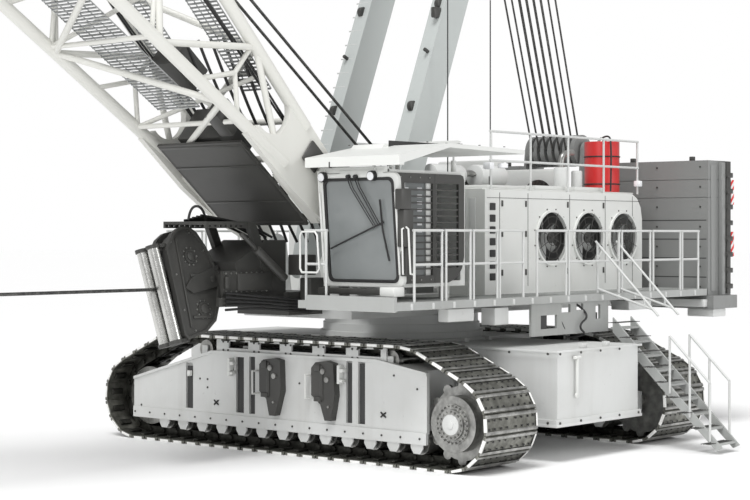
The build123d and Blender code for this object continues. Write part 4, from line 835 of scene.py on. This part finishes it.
def dress_windshield():
    pane_ring("windshield_frame", rounded(0.855, 0.93, 0.12), rounded(0.755, 0.85, 0.1), -0.02, 0.055,
              WHITE)
    pane_ring("windshield_gasket", rounded(0.765, 0.86, 0.11), rounded(0.715, 0.81, 0.085), 0.01, 0.07,
              BLACK)
    pane = outline([on_pane(y, up, 0.03) for y, up in rounded(0.72, 0.815, 0.09)])
    thicken(pane, PANE_OUT * 0.008)
    hand_over(pane, "windshield_pane", PANE_GREY)
    strips = [[on_pane(y, -0.72, 0.075), on_pane(y, 0.62, 0.075)] for y in (-0.84, 0.8)]
    hand_over(pipes(strips, 0.02), "windshield_grab_strips", WHITE)
    arms = [[on_pane(y + gap, 0.86, 0.09), on_pane(y + 0.07 + gap, 0.7, 0.1), on_pane(foot + gap, 0.08, 0.1)]
            for y, foot in ((-0.18, 0.33), (-0.02, 0.44)) for gap in (-0.02, 0.03)]
    hand_over(pipes(arms, 0.009, 2), "wiper_arms", BLACK)
    blades = [[on_pane(-0.65, -0.3, 0.085), on_pane(-0.1, -0.1, 0.1), on_pane(0.52, 0.13, 0.085)],
              [on_pane(0.47, 0.5, 0.085), on_pane(0.51, 0.0, 0.1), on_pane(0.6, -0.5, 0.085)]]
    hand_over(pipes(blades, 0.016, 2), "wiper_blades", BLACK)
    pivots = [(on_pane(y, 0.88, 0.05), on_pane(y, 0.88, 0.12), 0.035) for y in (-0.18, -0.02)]
    hand_over(discs(pivots, 0.005, 16), "wiper_pivots", BLACK)
    joint = on_pane(0.95, 0.05, 0.04)
    loops = [[on_pane(0.86, -0.72, 0.02), on_pane(0.9, -0.7, 0.12), on_pane(0.93, 0.02, 0.12), joint],
             [on_pane(1.02, -0.72, 0.0), on_pane(1.04, -0.7, 0.1), on_pane(1.05, 0.02, 0.1), joint]]
    hand_over(pipes(loops, 0.016), "cab_grab_loops", WHITE)


def dress_cab():
    mirror = []
    for low, high, depth in ((0.33, 0.66, 0.1), (-0.28, 0.33, 0.07), (-0.75, -0.28, 0.05)):
        a = PANE_MIDDLE + PANE_UP * low
        b = PANE_MIDDLE + PANE_UP * high
        mirror.append(((a.x - 0.12, 3.21, a.z), (b.x + depth, 3.36, b.z)))
    hand_over(blocks(mirror, 0.02), "cab_corner_mirror", DARK_STEEL)
    header = [((3.9, 1.55, 4.85), (3.99, 3.0, 4.95)), ((3.93, 2.0, 4.74), (4.0, 2.95, 4.9))]
    hand_over(blocks(header, 0.012), "cab_header", WHITE)
    lamps = (1.66, 2.74)
    bodies = [((3.97, y, 4.8), (4.08, y, 4.79), 0.085) for y in lamps]
    hand_over(discs(bodies, 0.015), "work_lamp_bodies", BLACK)
    fronts = [((4.07, y, 4.79), (4.09, y, 4.788), 0.07) for y in lamps]
    hand_over(discs(fronts, 0.01), "work_lamp_glasses", LAMP_WHITE)
    brackets = [((3.96, y - 0.03, 4.78), (4.02, y + 0.03, 4.95)) for y in lamps]
    hand_over(blocks(brackets, 0.006), "work_lamp_brackets", WHITE)
    sill = [((3.74, 1.46, 2.86), (3.93, 3.1, 2.96)), ((3.9, 1.5, 2.76), (4.2, 2.2, 2.8))]
    hand_over(blocks(sill, 0.015), "cab_sill", DARK_STEEL)
    hand_over(blocks([((3.88, 3.0, 2.85), (4.15, 3.3, 3.0))], 0.012), "cab_front_step", WHITE)
    run = [(4.31, y, z) for y, z in ((1.45, 3.22), (1.41, 3.28), (1.41, 3.83), (1.45, 3.89), (1.74, 3.89),
                                     (1.79, 3.83), (1.84, 3.28), (1.79, 3.22), (1.45, 3.22))]
    hand_over(pipes([run], 0.018), "front_hoop", WHITE)
    # White blocks behind the side guard stand in for the light seen through the cab: painted light, not lamps
    lights = [((x, 2.96, 4.57 - 0.115 * row), (x + 0.12, 2.985, 4.62 - 0.115 * row))
              for row in range(7) for x in (3.4, 3.05)]
    hand_over(blocks(lights, 0.004), "cab_painted_light_strips", LAMP_WHITE)
    console = [((3.28, 2.9, 3.75), (3.36, 2.95, 4.35)), ((3.0, 2.3, 3.1), (3.3, 2.7, 3.75))]
    hand_over(blocks(console, 0.02), "cab_console", BLACK)
    bolts = [(x + (z - 3) * 0.02, 3.05, z) for x in (2.9, 3.15, 3.4, 3.65) for z in (3.1, 4.78)]
    hand_over(bolt_heads(facing(bolts, (0, 1, 0)), 0.014, 0.01), "guard_bolts", WORN_STEEL)


dress_windshield()
dress_cab()


# Machine house, roof and winches

HOUSE_OUT = 2.4
FANS_X = (-1.5, -2.72, -3.94)
FAN_HEIGHT = 3.78
ROOF = 4.65
DRUM_HEIGHT = 4.35
DRUM_LAYERS = (("hoist", 0.3, 0.44), ("drag", -1.25, 0.44), ("luffing", -3.6, 0.46))
LAYER_TURNS = 22
LAYER_PITCH = 0.059
GUIDE_X = -0.2
GUIDE_HEIGHT = 5.35
TANK_X = -4.2
TANK_Y = 1.75


def dress_house():
    lines = [((x - 0.006, HOUSE_OUT, 2.9), (x + 0.006, HOUSE_OUT + 0.004, 4.6))
             for x in (0.12, -0.75, -2.1, -3.32, -4.3)]
    lines.append(((-4.6, HOUSE_OUT, 4.5), (0.5, HOUSE_OUT + 0.004, 4.508)))
    hand_over(blocks(lines, 0.001), "house_panel_joints", SHADE)
    louvres = [((0.26, HOUSE_OUT, 3.02 + 0.21 * k), (0.42, HOUSE_OUT + 0.02, 3.15 + 0.21 * k))
               for k in range(7)]
    hand_over(blocks(louvres, 0.01), "house_louvres", BLACK)
    louvres = [((0.5, 1.45 + 0.2 * k, 3.0), (0.575, 1.6 + 0.2 * k, 4.5)) for k in range(4)]
    hand_over(blocks(louvres, 0.012), "house_front_louvres", FRAME_GREY)
    hinges = [((x - 0.02, HOUSE_OUT, z), (x + 0.02, HOUSE_OUT + 0.02, z + 0.11))
              for x in (0.05, -0.68, -2.03, -3.25) for z in (3.1, 3.8, 4.35)]
    hand_over(blocks(hinges, 0.006), "house_hinges", DARK_STEEL)
    rings = [hoop((x, 2.43, FAN_HEIGHT), radius, 1) for x in FANS_X for radius in (0.14, 0.27, 0.4, 0.5)]
    for x in FANS_X:
        ends = circle((x, 2.435, FAN_HEIGHT), 0.5, 1, 8, math.radians(20))
        rings += [[ends[k + 4], ends[k]] for k in range(4)]
    hand_over(pipes(rings, 0.007, 1), "fan_guards", DARK_STEEL)
    hubs = [((x, 2.36, FAN_HEIGHT), (x, 2.4, FAN_HEIGHT), 0.1) for x in FANS_X]
    hand_over(discs(hubs, 0.01), "fan_hub_caps", DARK_STEEL)
    bolts = []
    for x in FANS_X:
        bolts += circle((x, HOUSE_OUT, FAN_HEIGHT), 0.55, 1, 12, math.radians(15))
    hand_over(bolt_heads(facing(bolts, (0, 1, 0)), 0.014, 0.012), "fan_ring_bolts", DARK_STEEL)
    hatches = [((-4.5, 1.36, ROOF), (0.5, 2.3, 4.68))]
    hatches += [((low, 1.5, 4.68), (high, 2.25, top))
                for low, high, top in ((-0.9, 0.3, 4.74), (-2.2, -1.2, 4.76), (-3.5, -2.5, 4.76))]
    hand_over(blocks(hatches, 0.015), "roof_hatches", WHITE)


def dress_winches():
    """Rope on the drums, their covers, and the guide sheaves that lead the hoist ropes up."""
    covers = [((-2.35, -0.7, 4.72), (-1.95, 0.7, 5.3)), ((-4.45, -0.8, 4.72), (-4.3, 0.8, 5.2)),
              ((-0.85, -0.72, 4.72), (-0.5, 0.72, 5.05))]
    hand_over(blocks(covers, 0.05), "winch_covers", WHITE)
    for drum, drum_x, radius in DRUM_LAYERS:
        layer = []
        for turn in range(LAYER_TURNS):
            points = hoop((drum_x, -0.62 + LAYER_PITCH * turn, DRUM_HEIGHT), radius, 1)
            rise = LAYER_PITCH / (len(points) - 1)
            layer.append([(x, y + rise * k, z) for k, (x, y, z) in enumerate(points)])
        hand_over(pipes(layer, 0.0265, 1), f"{drum}_rope_layer", ROPE_STEEL, f"{drum}_winch")
    sheaves, falls = [], []
    for y in (-ROPE_Y, ROPE_Y):
        for half, radius in ((0.035, 0.23), (0.05, 0.07)):
            sheaves.append(((GUIDE_X, y - half, GUIDE_HEIGHT), (GUIDE_X, y + half, GUIDE_HEIGHT), radius))
        wrap = [(GUIDE_X + 0.26 * math.cos(math.radians(a)), y,
                 GUIDE_HEIGHT + 0.26 * math.sin(math.radians(a))) for a in range(180, 120, -12)]
        falls.append([(-0.14, y, DRUM_HEIGHT), (-0.3, y, 4.9), (-0.45, y, 5.3)] + wrap)
    hand_over(discs(sheaves, 0.012, 32), "hoist_guide_sheaves", DARK_STEEL)
    brackets = [((-0.32, y, 4.7), (-0.08, y + 0.03, 5.45)) for y in (-0.3, 0.27)]
    hand_over(blocks(brackets), "hoist_guide_brackets", FRAME_GREY)
    hand_over(pipes(falls, ROPE_RADIUS), "hoist_rope_falls", ROPE_STEEL)


def dress_roof():
    """What stands between the roof rails: filters, exhaust, tank fittings and antennas."""
    filters = [((-0.5, 1.0, 4.95), (0.4, 1.0, 4.95), 0.2), ((-1.7, 1.05, 4.95), (-0.9, 1.05, 4.95), 0.22),
               ((-2.75, 1.75, 4.68), (-2.75, 1.75, 5.15), 0.14),
               ((-3.3, 1.75, 4.68), (-3.3, 1.75, 5.1), 0.11)]
    hand_over(discs(filters, 0.03, 28), "air_filters", FRAME_GREY)
    exhaust = [[(-2.75, 1.75, 5.1), (-2.75, 1.75, 5.35), (-2.95, 1.75, 5.45), (-3.15, 1.75, 5.45)],
               [(-0.5, 1.0, 4.95), (-0.9, 1.0, 5.05), (-0.9, 1.05, 4.95)]]
    hand_over(pipes(exhaust, 0.06, 5, True), "exhaust_pipes", WORN_STEEL)
    valve = [((TANK_X, TANK_Y, 5.66), (TANK_X, TANK_Y, 5.74), 0.09),
             ((TANK_X, TANK_Y, 5.74), (TANK_X, TANK_Y, 5.8), 0.04)]
    hand_over(discs(valve, 0.01, 20), "tank_valve", BRIGHT_STEEL)
    bands = [hoop((TANK_X, TANK_Y, z), 0.355, 2) for z in (4.85, 5.4)]
    hand_over(pipes(bands, 0.014, 2), "tank_bands", BLACK)
    hose = [(TANK_X, TANK_Y, 5.78), (-4.1, 1.95, 5.84), (-3.95, 2.15, 5.7), (-3.9, 2.15, 4.7)]
    hand_over(pipes([hose], 0.018, 3, True), "tank_hose", BLACK)
    masts = (((0.0, 2.1, 4.56), 8.1, 4.9), ((0.36, 1.4, 4.6), 9.4, 4.95))
    antennas = [(foot, (*foot[:2], tip), 0.012) for foot, tip, _ in masts]
    antennas += [(foot, (*foot[:2], sleeve), 0.03) for foot, _, sleeve in masts]
    hand_over(discs(antennas, 0.003, 8), "whip_antennas", BLACK)
    lamps = [((0.62, 2.5, 5.0), (0.75, 2.66, 5.12)), ((-4.62, 2.3, 4.8), (-4.5, 2.44, 4.92))]
    hand_over(blocks(lamps, 0.02), "roof_lamps", LAMP_WHITE)


def dress_canopy():
    seams = [((2.55, 1.4, 5.34), (2.58, 3.4, 5.352)), ((4.2, 2.0, 4.93), (4.262, 2.02, 5.03))]
    hand_over(blocks(seams, 0.002), "canopy_seams", SHADE)
    profile = ((3.3, 5.26), (1.3, 5.38), (1.1, 5.48), (1.2, 5.5), (3.2, 5.36))
    hood = outline([(x, 1.6, z) for x, z in profile])
    thicken(hood, (0, 0.7, 0))
    soften(hood, 0.008)
    hand_over(hood, "canopy_hood", WHITE)
    # A black strip on the hood's side where it meets the canopy: painted shade in the gap
    hand_over(blocks([((1.3, 2.3, 5.3), (3.1, 2.31, 5.42))], 0.003), "canopy_hood_gap_painted_shade", BLACK)
    bolts = [(x, y, 5.345) for x in (1.2, 1.9, 2.4, 2.8, 3.3) for y in (1.6, 3.3)]
    hand_over(bolt_heads(facing(bolts, (0, 0, 1)), height=0.012), "canopy_bolts", DARK_STEEL)
    hand_over(discs([((1.4, 3.42, 4.98), (1.4, 3.42, 5.06), 0.09)], 0.015, 20), "canopy_lamp", LAMP_WHITE)


def dress_counterweight():
    joints = [((-5.403, 1.2, z), (-5.397, 3.44, z + 0.02)) for z in (2.98, 3.36, 3.74, 4.12)]
    hand_over(blocks(joints, 0.002), "weight_joints", SHADE)
    column = [((-5.92, 3.48, 2.62), (-5.8, 3.58, 5.3)), ((-5.7, 3.48, 2.7), (-5.5, 3.5, 5.25))]
    hand_over(blocks(column, 0.01), "weight_light_column", WEIGHT_GREY)
    dark = [((-6.1, 3.48, 2.65), (-5.95, 3.6, 5.32))]
    dark += [((-6.14, 3.5, 2.75 + 0.32 * k), (-5.92, 3.63, 2.85 + 0.32 * k)) for k in range(8)]
    hand_over(blocks(dark, 0.012), "weight_dark_column", DARK_STEEL)
    boards = [((-6.3, 3.5, 3.4 + 1.05 * k), (-6.18, 3.56, 3.9 + 1.05 * k)) for k in range(2)]
    hand_over(blocks(boards, 0.004), "hazard_boards", HAZARD)
    lifting = [((-5.6, y, 5.33), (-5.6, y, 5.42), 0.06) for y in (1.6, 3.0, -1.6, -3.0)]
    hand_over(discs(lifting, 0.01, 16), "weight_lifting_pins", DARK_STEEL)
    base = [((-5.9, 3.0, 2.2), (-5.4, 3.6, 2.36)), ((-5.35, 1.3, 2.4), (-5.2, 3.5, 2.55))]
    hand_over(blocks(base, 0.02), "weight_base_blocks", FRAME_GREY)
    bolts = [(-5.399, y, z) for y in (1.35, 2.3, 3.3) for z in (2.8, 3.2, 3.6, 4.0, 4.4, 4.8, 5.2)]
    hand_over(bolt_heads(facing(bolts, (1, 0, 0))), "weight_bolts", DARK_STEEL)


def dress_decks():
    bars = [((-5.2 + 0.08 * k, 2.46, 2.76), (-5.188 + 0.08 * k, 3.44, 2.772)) for k in range(100)]
    hand_over(blocks(bars, 0), "deck_grating", DECK_GREY)
    ribs = []
    for k in range(9):
        y = 3.85 + 1.9 * k / 8
        z = 2.24 - 2.05 * k / 8
        ribs += [((-2.14, y - 0.08 + 0.05 * n, z), (-1.33, y - 0.07 + 0.05 * n, z + 0.012)) for n in range(4)]
    hand_over(blocks(ribs, 0), "stair_tread_ribs", DARK_STEEL, "undercarriage")
    # Dark sheets in the openings of the plate under the deck: painted shade
    windows = [((x, 3.405, 2.12), (x + 0.42, 3.42, 2.42)) for x in (-1.5, -0.7, 0.1)]
    hand_over(blocks(windows, 0.004), "underdeck_window_painted_shade", SHADE)
    hoses = [[(-0.9, 3.3, 2.62), (-1.2, 3.5, 2.4), (-0.7, 3.52, 2.2), (-1.1, 3.5, 2.0), (-0.8, 3.2, 1.98)],
             [(-0.2, 3.3, 2.62), (-0.3, 3.46, 2.3), (-0.5, 3.4, 2.1)]]
    hand_over(pipes(hoses, 0.02, 3, True), "underdeck_hoses", BLACK)
    boxes = [((1.2, 3.1, 2.3), (1.6, 3.4, 2.6)), ((-3.4, 3.0, 2.42), (-2.6, 3.4, 2.6)),
             ((2.2, 3.2, 2.4), (2.9, 3.42, 2.62))]
    hand_over(blocks(boxes, 0.02), "underdeck_boxes", FRAME_GREY)
    clamps = [((-4.9 + 0.55 * k, 3.47, 2.64), (-4.85 + 0.55 * k, 3.5, 2.74)) for k in range(17)]
    hand_over(blocks(clamps, 0.006), "rail_foot_clamps", RAIL_GREY)
    bolts = facing(circle((0, 0, 2.38), 1.36, 2, 60), (0, 0, 1))
    hand_over(bolt_heads(bolts, 0.026, 0.02), "slew_ring_bolts", DARK_STEEL)


dress_house()
dress_winches()
dress_roof()
dress_canopy()
dress_counterweight()
dress_decks()


# Boom, mast and fairlead

BOOM_LEAN = math.radians(39.75)
BOOM_FOOT = Vector((2.2, 0, 3.6))
BOOM_ALONG = Vector((math.cos(BOOM_LEAN), 0, math.sin(BOOM_LEAN)))
BOOM_UP = Vector((-math.sin(BOOM_LEAN), 0, math.cos(BOOM_LEAN)))
BOOM_TURN = Matrix((BOOM_ALONG, Vector((0, 1, 0)), BOOM_UP)).transposed()
BOOM_PLACE = Matrix.Translation(BOOM_FOOT) @ BOOM_TURN.to_4x4()
FOOT_SECTION_END = 9.2
HALF_DEPTH = 1.18
FOOT_DEPTH = 0.09
CHORD_Y = 1.25
BRACE_Y = 1.2
COLLAR_AT = 10.3


def on_boom(s, y, n):
    """A point along, across and over the boom's axis."""
    return BOOM_FOOT + BOOM_ALONG * s + Vector((0, y, 0)) + BOOM_UP * n


def boom_blocks(boxes, bevel):
    """Blocks given along, across and over the boom's axis, turned into its line."""
    piece = blocks(boxes, bevel)
    piece.data.transform(BOOM_PLACE)
    return piece


def boom_depth(s):
    """Half the boom's depth between its chords, at a distance along it."""
    return FOOT_DEPTH + (HALF_DEPTH - FOOT_DEPTH) * min(s / FOOT_SECTION_END, 1)


def grating(y_low, y_high, face, start, end, sink):
    """Cross bars and runners of a grating that follows the boom's upper or lower chords."""
    step = 0.075
    bars = []
    for k in range(int((end - start) / step)):
        s = start + step * k
        n = face * (boom_depth(s) - sink)
        bars.append(((s, y_low, n), (s + 0.02, y_high, n + 0.03)))
    runners = []
    for k in range(5):
        y = y_low + (y_high - y_low) * k / 4
        runners.append([on_boom(s, y, face * (boom_depth(s) - sink) + 0.02)
                        for s in (start, min(FOOT_SECTION_END, end), end)])
    return join([boom_blocks(bars, 0), pipes(runners, 0.01, 1)])


def boom_braces():
    """Lighter braces between the chords: a K on both sides, and crosses through the bays."""
    braces = []
    for k in range(8):
        s = 3.9 + 2.2 * k
        near, middle, far = [boom_depth(s + step) for step in (0, 0.55, 1.1)]
        for y in (-BRACE_Y, BRACE_Y):
            centre = on_boom(s + 0.55, y, 0)
            braces += [[on_boom(s, y, -near), centre], [on_boom(s + 1.1, y, -far), centre],
                       [centre, on_boom(s + 0.55, y, middle)]]
        for side, low, high in ((-1, near, near), (-1, -near, -near), (-1, -near, near), (1, -near, near)):
            braces.append([on_boom(s, side * BRACE_Y, low), on_boom(s, -side * BRACE_Y, high)])
    return pipes(braces, 0.042, 4)


def dress_boom():
    strips = [grating(0.45, 1.1, 1, 3.6, 20.9, 0.08), grating(-1.1, -0.45, 1, 3.6, 20.9, 0.08)]
    hand_over(join(strips), "boom_top_gratings", GRATING_GREY, "boom")
    hand_over(grating(-0.5, 0.5, -1, 4.2, 16, 0.1), "boom_floor_grating", GRATING_GREY, "boom")
    hand_over(boom_braces(), "boom_inner_braces", BOOM_WHITE, "boom")
    stations = [0.9 + 1.1 * k for k in range(19)]
    cables = [[on_boom(s, y, boom_depth(s) * 0.72 + 0.03 * math.sin(k * 2.1 + index))
               for k, s in enumerate(stations)] for index, y in enumerate((1.02, 1.08, -1.02, -1.08))]
    hand_over(pipes(cables, 0.02, 3, True), "boom_cables", BLACK, "boom")
    corners = [(side, n) for side in (-1, 1) for n in (-HALF_DEPTH, HALF_DEPTH)]
    collars = [(on_boom(COLLAR_AT - 0.16, side * CHORD_Y, n), on_boom(COLLAR_AT + 0.16, side * CHORD_Y, n),
                0.15) for side, n in corners]
    hand_over(discs(collars, 0.02), "boom_chord_collars", BOOM_WHITE, "boom")
    pins = [(on_boom(COLLAR_AT, side * 1.05, n), on_boom(COLLAR_AT, side * 1.45, n), 0.06)
            for side, n in corners]
    hand_over(discs(pins, 0.01, 20), "boom_joint_pins", DARK_STEEL, "boom")
    ribs = [((1.45, -0.98, -0.64), (3.45, -0.94, -0.56)), ((1.45, 0.94, -0.64), (3.45, 0.98, -0.56)),
            ((1.45, -0.98, -0.65), (1.5, 0.98, -0.56)), ((3.4, -0.98, -0.65), (3.45, 0.98, -0.56)),
            ((2.0, -0.98, -0.655), (2.04, 0.98, -0.64)), ((2.9, -0.98, -0.655), (2.94, 0.98, -0.64))]
    hand_over(boom_blocks(ribs, 0.008), "boom_guard_ribs", DARK_STEEL, "boom")
    boxes = [((2.1, 1.31, -0.1), (2.5, 1.36, 0.3)), ((1.3, 1.31, -0.2), (1.4, 1.37, 0.2)),
             ((3.6, 0.6, -0.6), (4.1, 0.9, -0.2)), ((2.8, -0.6, -0.5), (3.5, 0.4, 0.2)),
             ((3.9, -0.9, 0.2), (4.6, -0.3, 0.7))]
    hand_over(boom_blocks(boxes, 0.03), "boom_foot_boxes", DARK_STEEL, "boom")
    hoses = []
    for k in range(7):
        y = -0.75 + 0.25 * k
        hoses.append([on_boom(0.6, y, -0.35), on_boom(1.3, y + 0.05, -0.2 + 0.06 * (k % 3)),
                      on_boom(2.4, y * 0.9, 0.12 - 0.05 * (k % 2)), on_boom(3.6, y * 1.1, 0.3),
                      on_boom(4.6, y * 1.2, 0.7)])
    hand_over(pipes(hoses, 0.026, 3, True), "boom_foot_hoses", BLACK, "boom")
    caps = [(on_boom(0, side * 1.3, 0), on_boom(0, side * 1.37, 0), 0.16) for side in (-1, 1)]
    hand_over(discs(caps, 0.015, 32), "boom_foot_pin_caps", DARK_STEEL, "boom")
    flanges = []
    for y in (-ROPE_Y, ROPE_Y):
        for edge in (-1, 1):
            a = HEAD_SHEAVE + Vector((0, y + edge * 0.055, 0))
            flanges += [(a, a + Vector((0, edge * width, 0)), radius)
                        for width, radius in ((0.012, 0.6), (0.03, 0.2))]
    hand_over(discs(flanges, 0.004, 48), "head_sheave_flanges", DARK_STEEL, "boom_head_sheave_set")


MAST_FOOT = Vector((1.73, 0, 3.2))
MAST_ALONG = (MAST_HEAD - MAST_FOOT).normalized()
MAST_OVER = Vector((MAST_ALONG.z, 0, -MAST_ALONG.x))


def on_mast(s, y, n):
    """A point along, across and over the mast's axis."""
    return MAST_FOOT + MAST_ALONG * s + Vector((0, y, 0)) + MAST_OVER * n


def dress_mast():
    clamps = [(on_mast(s, side * 0.99, 0.22), on_mast(s, side * 0.99, 0.42), 0.035)
              for side in (-1, 1) for s in (4.2, 5.6)]
    hand_over(discs(clamps, 0.008, 16), "mast_clamps", DARK_STEEL, "mast")
    rungs = [[on_mast(2.4 + 0.3 * k, -1.15, 0.3), on_mast(2.4 + 0.3 * k, -0.85, 0.3)] for k in range(30)]
    hand_over(pipes(rungs, 0.014, 2), "mast_rungs", RAIL_GREY, "mast")
    half = Vector((0.06, 0, 0))
    lamp = [(on_mast(4.9, 0.95, 0.3) - half, on_mast(5.05, 1.05, 0.45) + half)]
    hand_over(blocks(lamp, 0.02), "mast_lamp", DARK_STEEL, "mast")
    guides = [(on_mast(s, y - 0.05, 0.3), on_mast(s, y + 0.05, 0.3), 0.1)
              for s in (3.1, 5.2) for y in (-0.95, 0.95)]
    hand_over(discs(guides, 0.012, 20), "mast_rope_guides", DARK_STEEL, "mast")


# The fairlead's swivelling head is given upright, X and Z from its roll axis, and rolled at rest
HEAD_PLACE = Matrix.Translation(Vector((0, 0, DRAG_LEVEL))) @ Matrix.Rotation(math.radians(15), 4, "X")
HEAD_FACE = 0.186
UPPER_SHEAVE = (5.53, 0.50)
LOWER_SHEAVE = (5.44, -0.40)


def on_head(piece, name, material):
    piece.data.transform(HEAD_PLACE)
    hand_over(piece, name, material, "fairlead_swivel_head")


def dress_fairlead_head():
    bolts = []
    for side in (-1, 1):
        places = []
        for x, z in (UPPER_SHEAVE, LOWER_SHEAVE):
            places += circle((x, side * HEAD_FACE, z), 0.15, 1, 10)
        places += [(x, side * HEAD_FACE, z) for x, z in (
            (5.2, 0.6), (5.45, 0.9), (5.9, 0.75), (5.9, 0.2), (5.87, -0.4), (5.7, -0.75))]
        bolts += facing(places, (0, side, 0))
    on_head(bolt_heads(bolts, 0.016), "fairlead_bolts", WORN_STEEL)
    caps = [((x, side * 0.2, z), (x, side * 0.235, z), radius) for side in (-1, 1)
            for x, z, radius in ((*UPPER_SHEAVE, 0.08), (*LOWER_SHEAVE, 0.08), (5.12, 0.1, 0.06))]
    on_head(discs(caps, 0.012, 28), "fairlead_shaft_caps", DARK_STEEL)
    webs = []
    for side in (-1, 1):
        for x, z, width, height in ((5.1, 0.15, 0.5, 0.05), (5.3, -0.55, 0.4, 0.05), (5.75, -0.7, 0.05, 1.5)):
            webs.append(((x, side * HEAD_FACE, z), (x + width, side * 0.21, z + height)))
    on_head(blocks(webs), "fairlead_webs", DARK_STEEL)


def dress_fairlead():
    hoses = []
    for k in range(5):
        y = -0.3 + 0.14 * k
        hoses.append([(3.8, y, 3.8), (4.3, y + 0.05, 3.98 + 0.03 * (k % 2)), (4.9, y * 0.8, 4.1),
                      (5.4, y * 0.7, 4.08 + 0.02 * k)])
        hoses.append([(3.2, 0.63, 2.5 + 0.05 * k), (3.9, 0.66 + 0.02 * k, 2.56 + 0.05 * k),
                      (4.6, 0.6 + 0.01 * k, 2.62 + 0.05 * k), (5.2, 0.56, 2.6 + 0.07 * k)])
    hoses.append([(5.3, 0.2, 4.07), (5.45, 0.3, 4.3), (5.65, 0.2, 4.32), (5.6, 0.1, 4.1)])
    hand_over(pipes(hoses, 0.022, 3, True), "fairlead_hoses", BLACK)
    stays = [((3.95, side * 0.72, 3.1), (4.6, side * 0.68, 3.6), 0.07) for side in (-1, 1)]
    stays += [((4.6, side * 0.68, 3.6), (4.95, side * 0.66, 3.86), 0.035) for side in (-1, 1)]
    hand_over(discs(stays, 0.01), "fairlead_stays", DARK_STEEL)
    boxes = [((3.0, 0.64, 2.7), (3.5, 0.9, 3.1)), ((3.1, -0.95, 2.7), (3.7, -0.64, 3.3)),
             ((3.3, 0.55, 3.15), (3.7, 0.85, 3.5)), ((4.1, 0.52, 2.9), (4.9, 0.56, 3.2)),
             ((5.1, 0.53, 2.95), (5.2, 0.58, 3.15))]
    hand_over(blocks(boxes, 0.02), "fairlead_boxes", DARK_STEEL)
    bolts = [(4.2 + 0.12 * k, 0.521, z) for k in range(9) for z in (2.9, 3.2)]
    hand_over(bolt_heads(facing(bolts, (0, 1, 0)), 0.018), "fairlead_arm_bolts", WORN_STEEL)


def dress_bucket():
    ribs = [((19.0, -1.3 + 0.43 * k, 2.34), (21.9, -1.25 + 0.43 * k, 2.36)) for k in range(7)]
    hand_over(blocks(ribs, 0.006), "bucket_floor_ribs", BUCKET_STEEL, "bucket")


dress_boom()
dress_mast()
dress_fairlead_head()
dress_fairlead()
dress_bucket()


# Floor and light

FLOOR_SIZE = 600
FLOOR_WHITE = 0.97
SKY_LIGHT = 0.5
BACKDROP = 1.0
SUN = ((12, 5, 26), 2.15, 25)
KEY_LAMP = ((26, 8, 14), (0, 0, 2), (8, 8), 1500)
SIDE_LAMP = ((-8, 28, 12), (-2, 0, 3), (10, 8), 1300)


def lay_floor():
    bpy.ops.mesh.primitive_plane_add(size=FLOOR_SIZE, location=(0, 0, 0))
    floor = bpy.context.object
    floor.name = "studio_floor"
    f = Finish("studio_floor")
    f.set(Base_Color=(FLOOR_WHITE, FLOOR_WHITE, FLOOR_WHITE, 1), Roughness=0.6)
    floor.data.materials.append(f.material)


def aim(light, place, direction):
    made = bpy.data.objects.new(light.name, light)
    made.location = place
    made.rotation_euler = direction.to_track_quat("-Z", "Y").to_euler()
    bpy.context.collection.objects.link(made)


def add_lamp(name, place, target, size, power):
    lamp = bpy.data.lights.new(name, "AREA")
    lamp.shape = "RECTANGLE"
    lamp.size, lamp.size_y = size
    lamp.energy = power
    aim(lamp, place, Vector(target) - Vector(place))


def add_sun(place, strength, spread):
    sun = bpy.data.lights.new("sun", "SUN")
    sun.energy = strength
    sun.angle = math.radians(spread)
    aim(sun, place, -Vector(place))


def light_studio():
    """A white backdrop for the camera, a dimmer even sky, a broad sun and two lamps."""
    world = bpy.data.worlds.new("studio")
    world.use_nodes = True
    nodes = world.node_tree.nodes
    links = world.node_tree.links
    sky = nodes["Background"]
    backdrop = nodes.new("ShaderNodeBackground")
    for background, strength in ((sky, SKY_LIGHT), (backdrop, BACKDROP)):
        background.inputs["Color"].default_value = (1, 1, 1, 1)
        background.inputs["Strength"].default_value = strength
    seen = nodes.new("ShaderNodeLightPath")
    blend = nodes.new("ShaderNodeMixShader")
    links.new(seen.outputs["Is Camera Ray"], blend.inputs[0])
    links.new(sky.outputs[0], blend.inputs[1])
    links.new(backdrop.outputs[0], blend.inputs[2])
    links.new(blend.outputs[0], nodes["World Output"].inputs["Surface"])
    bpy.context.scene.world = world
    bpy.context.scene.view_settings.view_transform = "Standard"
    add_sun(*SUN)
    add_lamp("key", *KEY_LAMP)
    add_lamp("side", *SIDE_LAMP)


lay_floor()
light_studio()

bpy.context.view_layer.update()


def corners(box):
    return [[float(value) for value in corner] for corner in box]
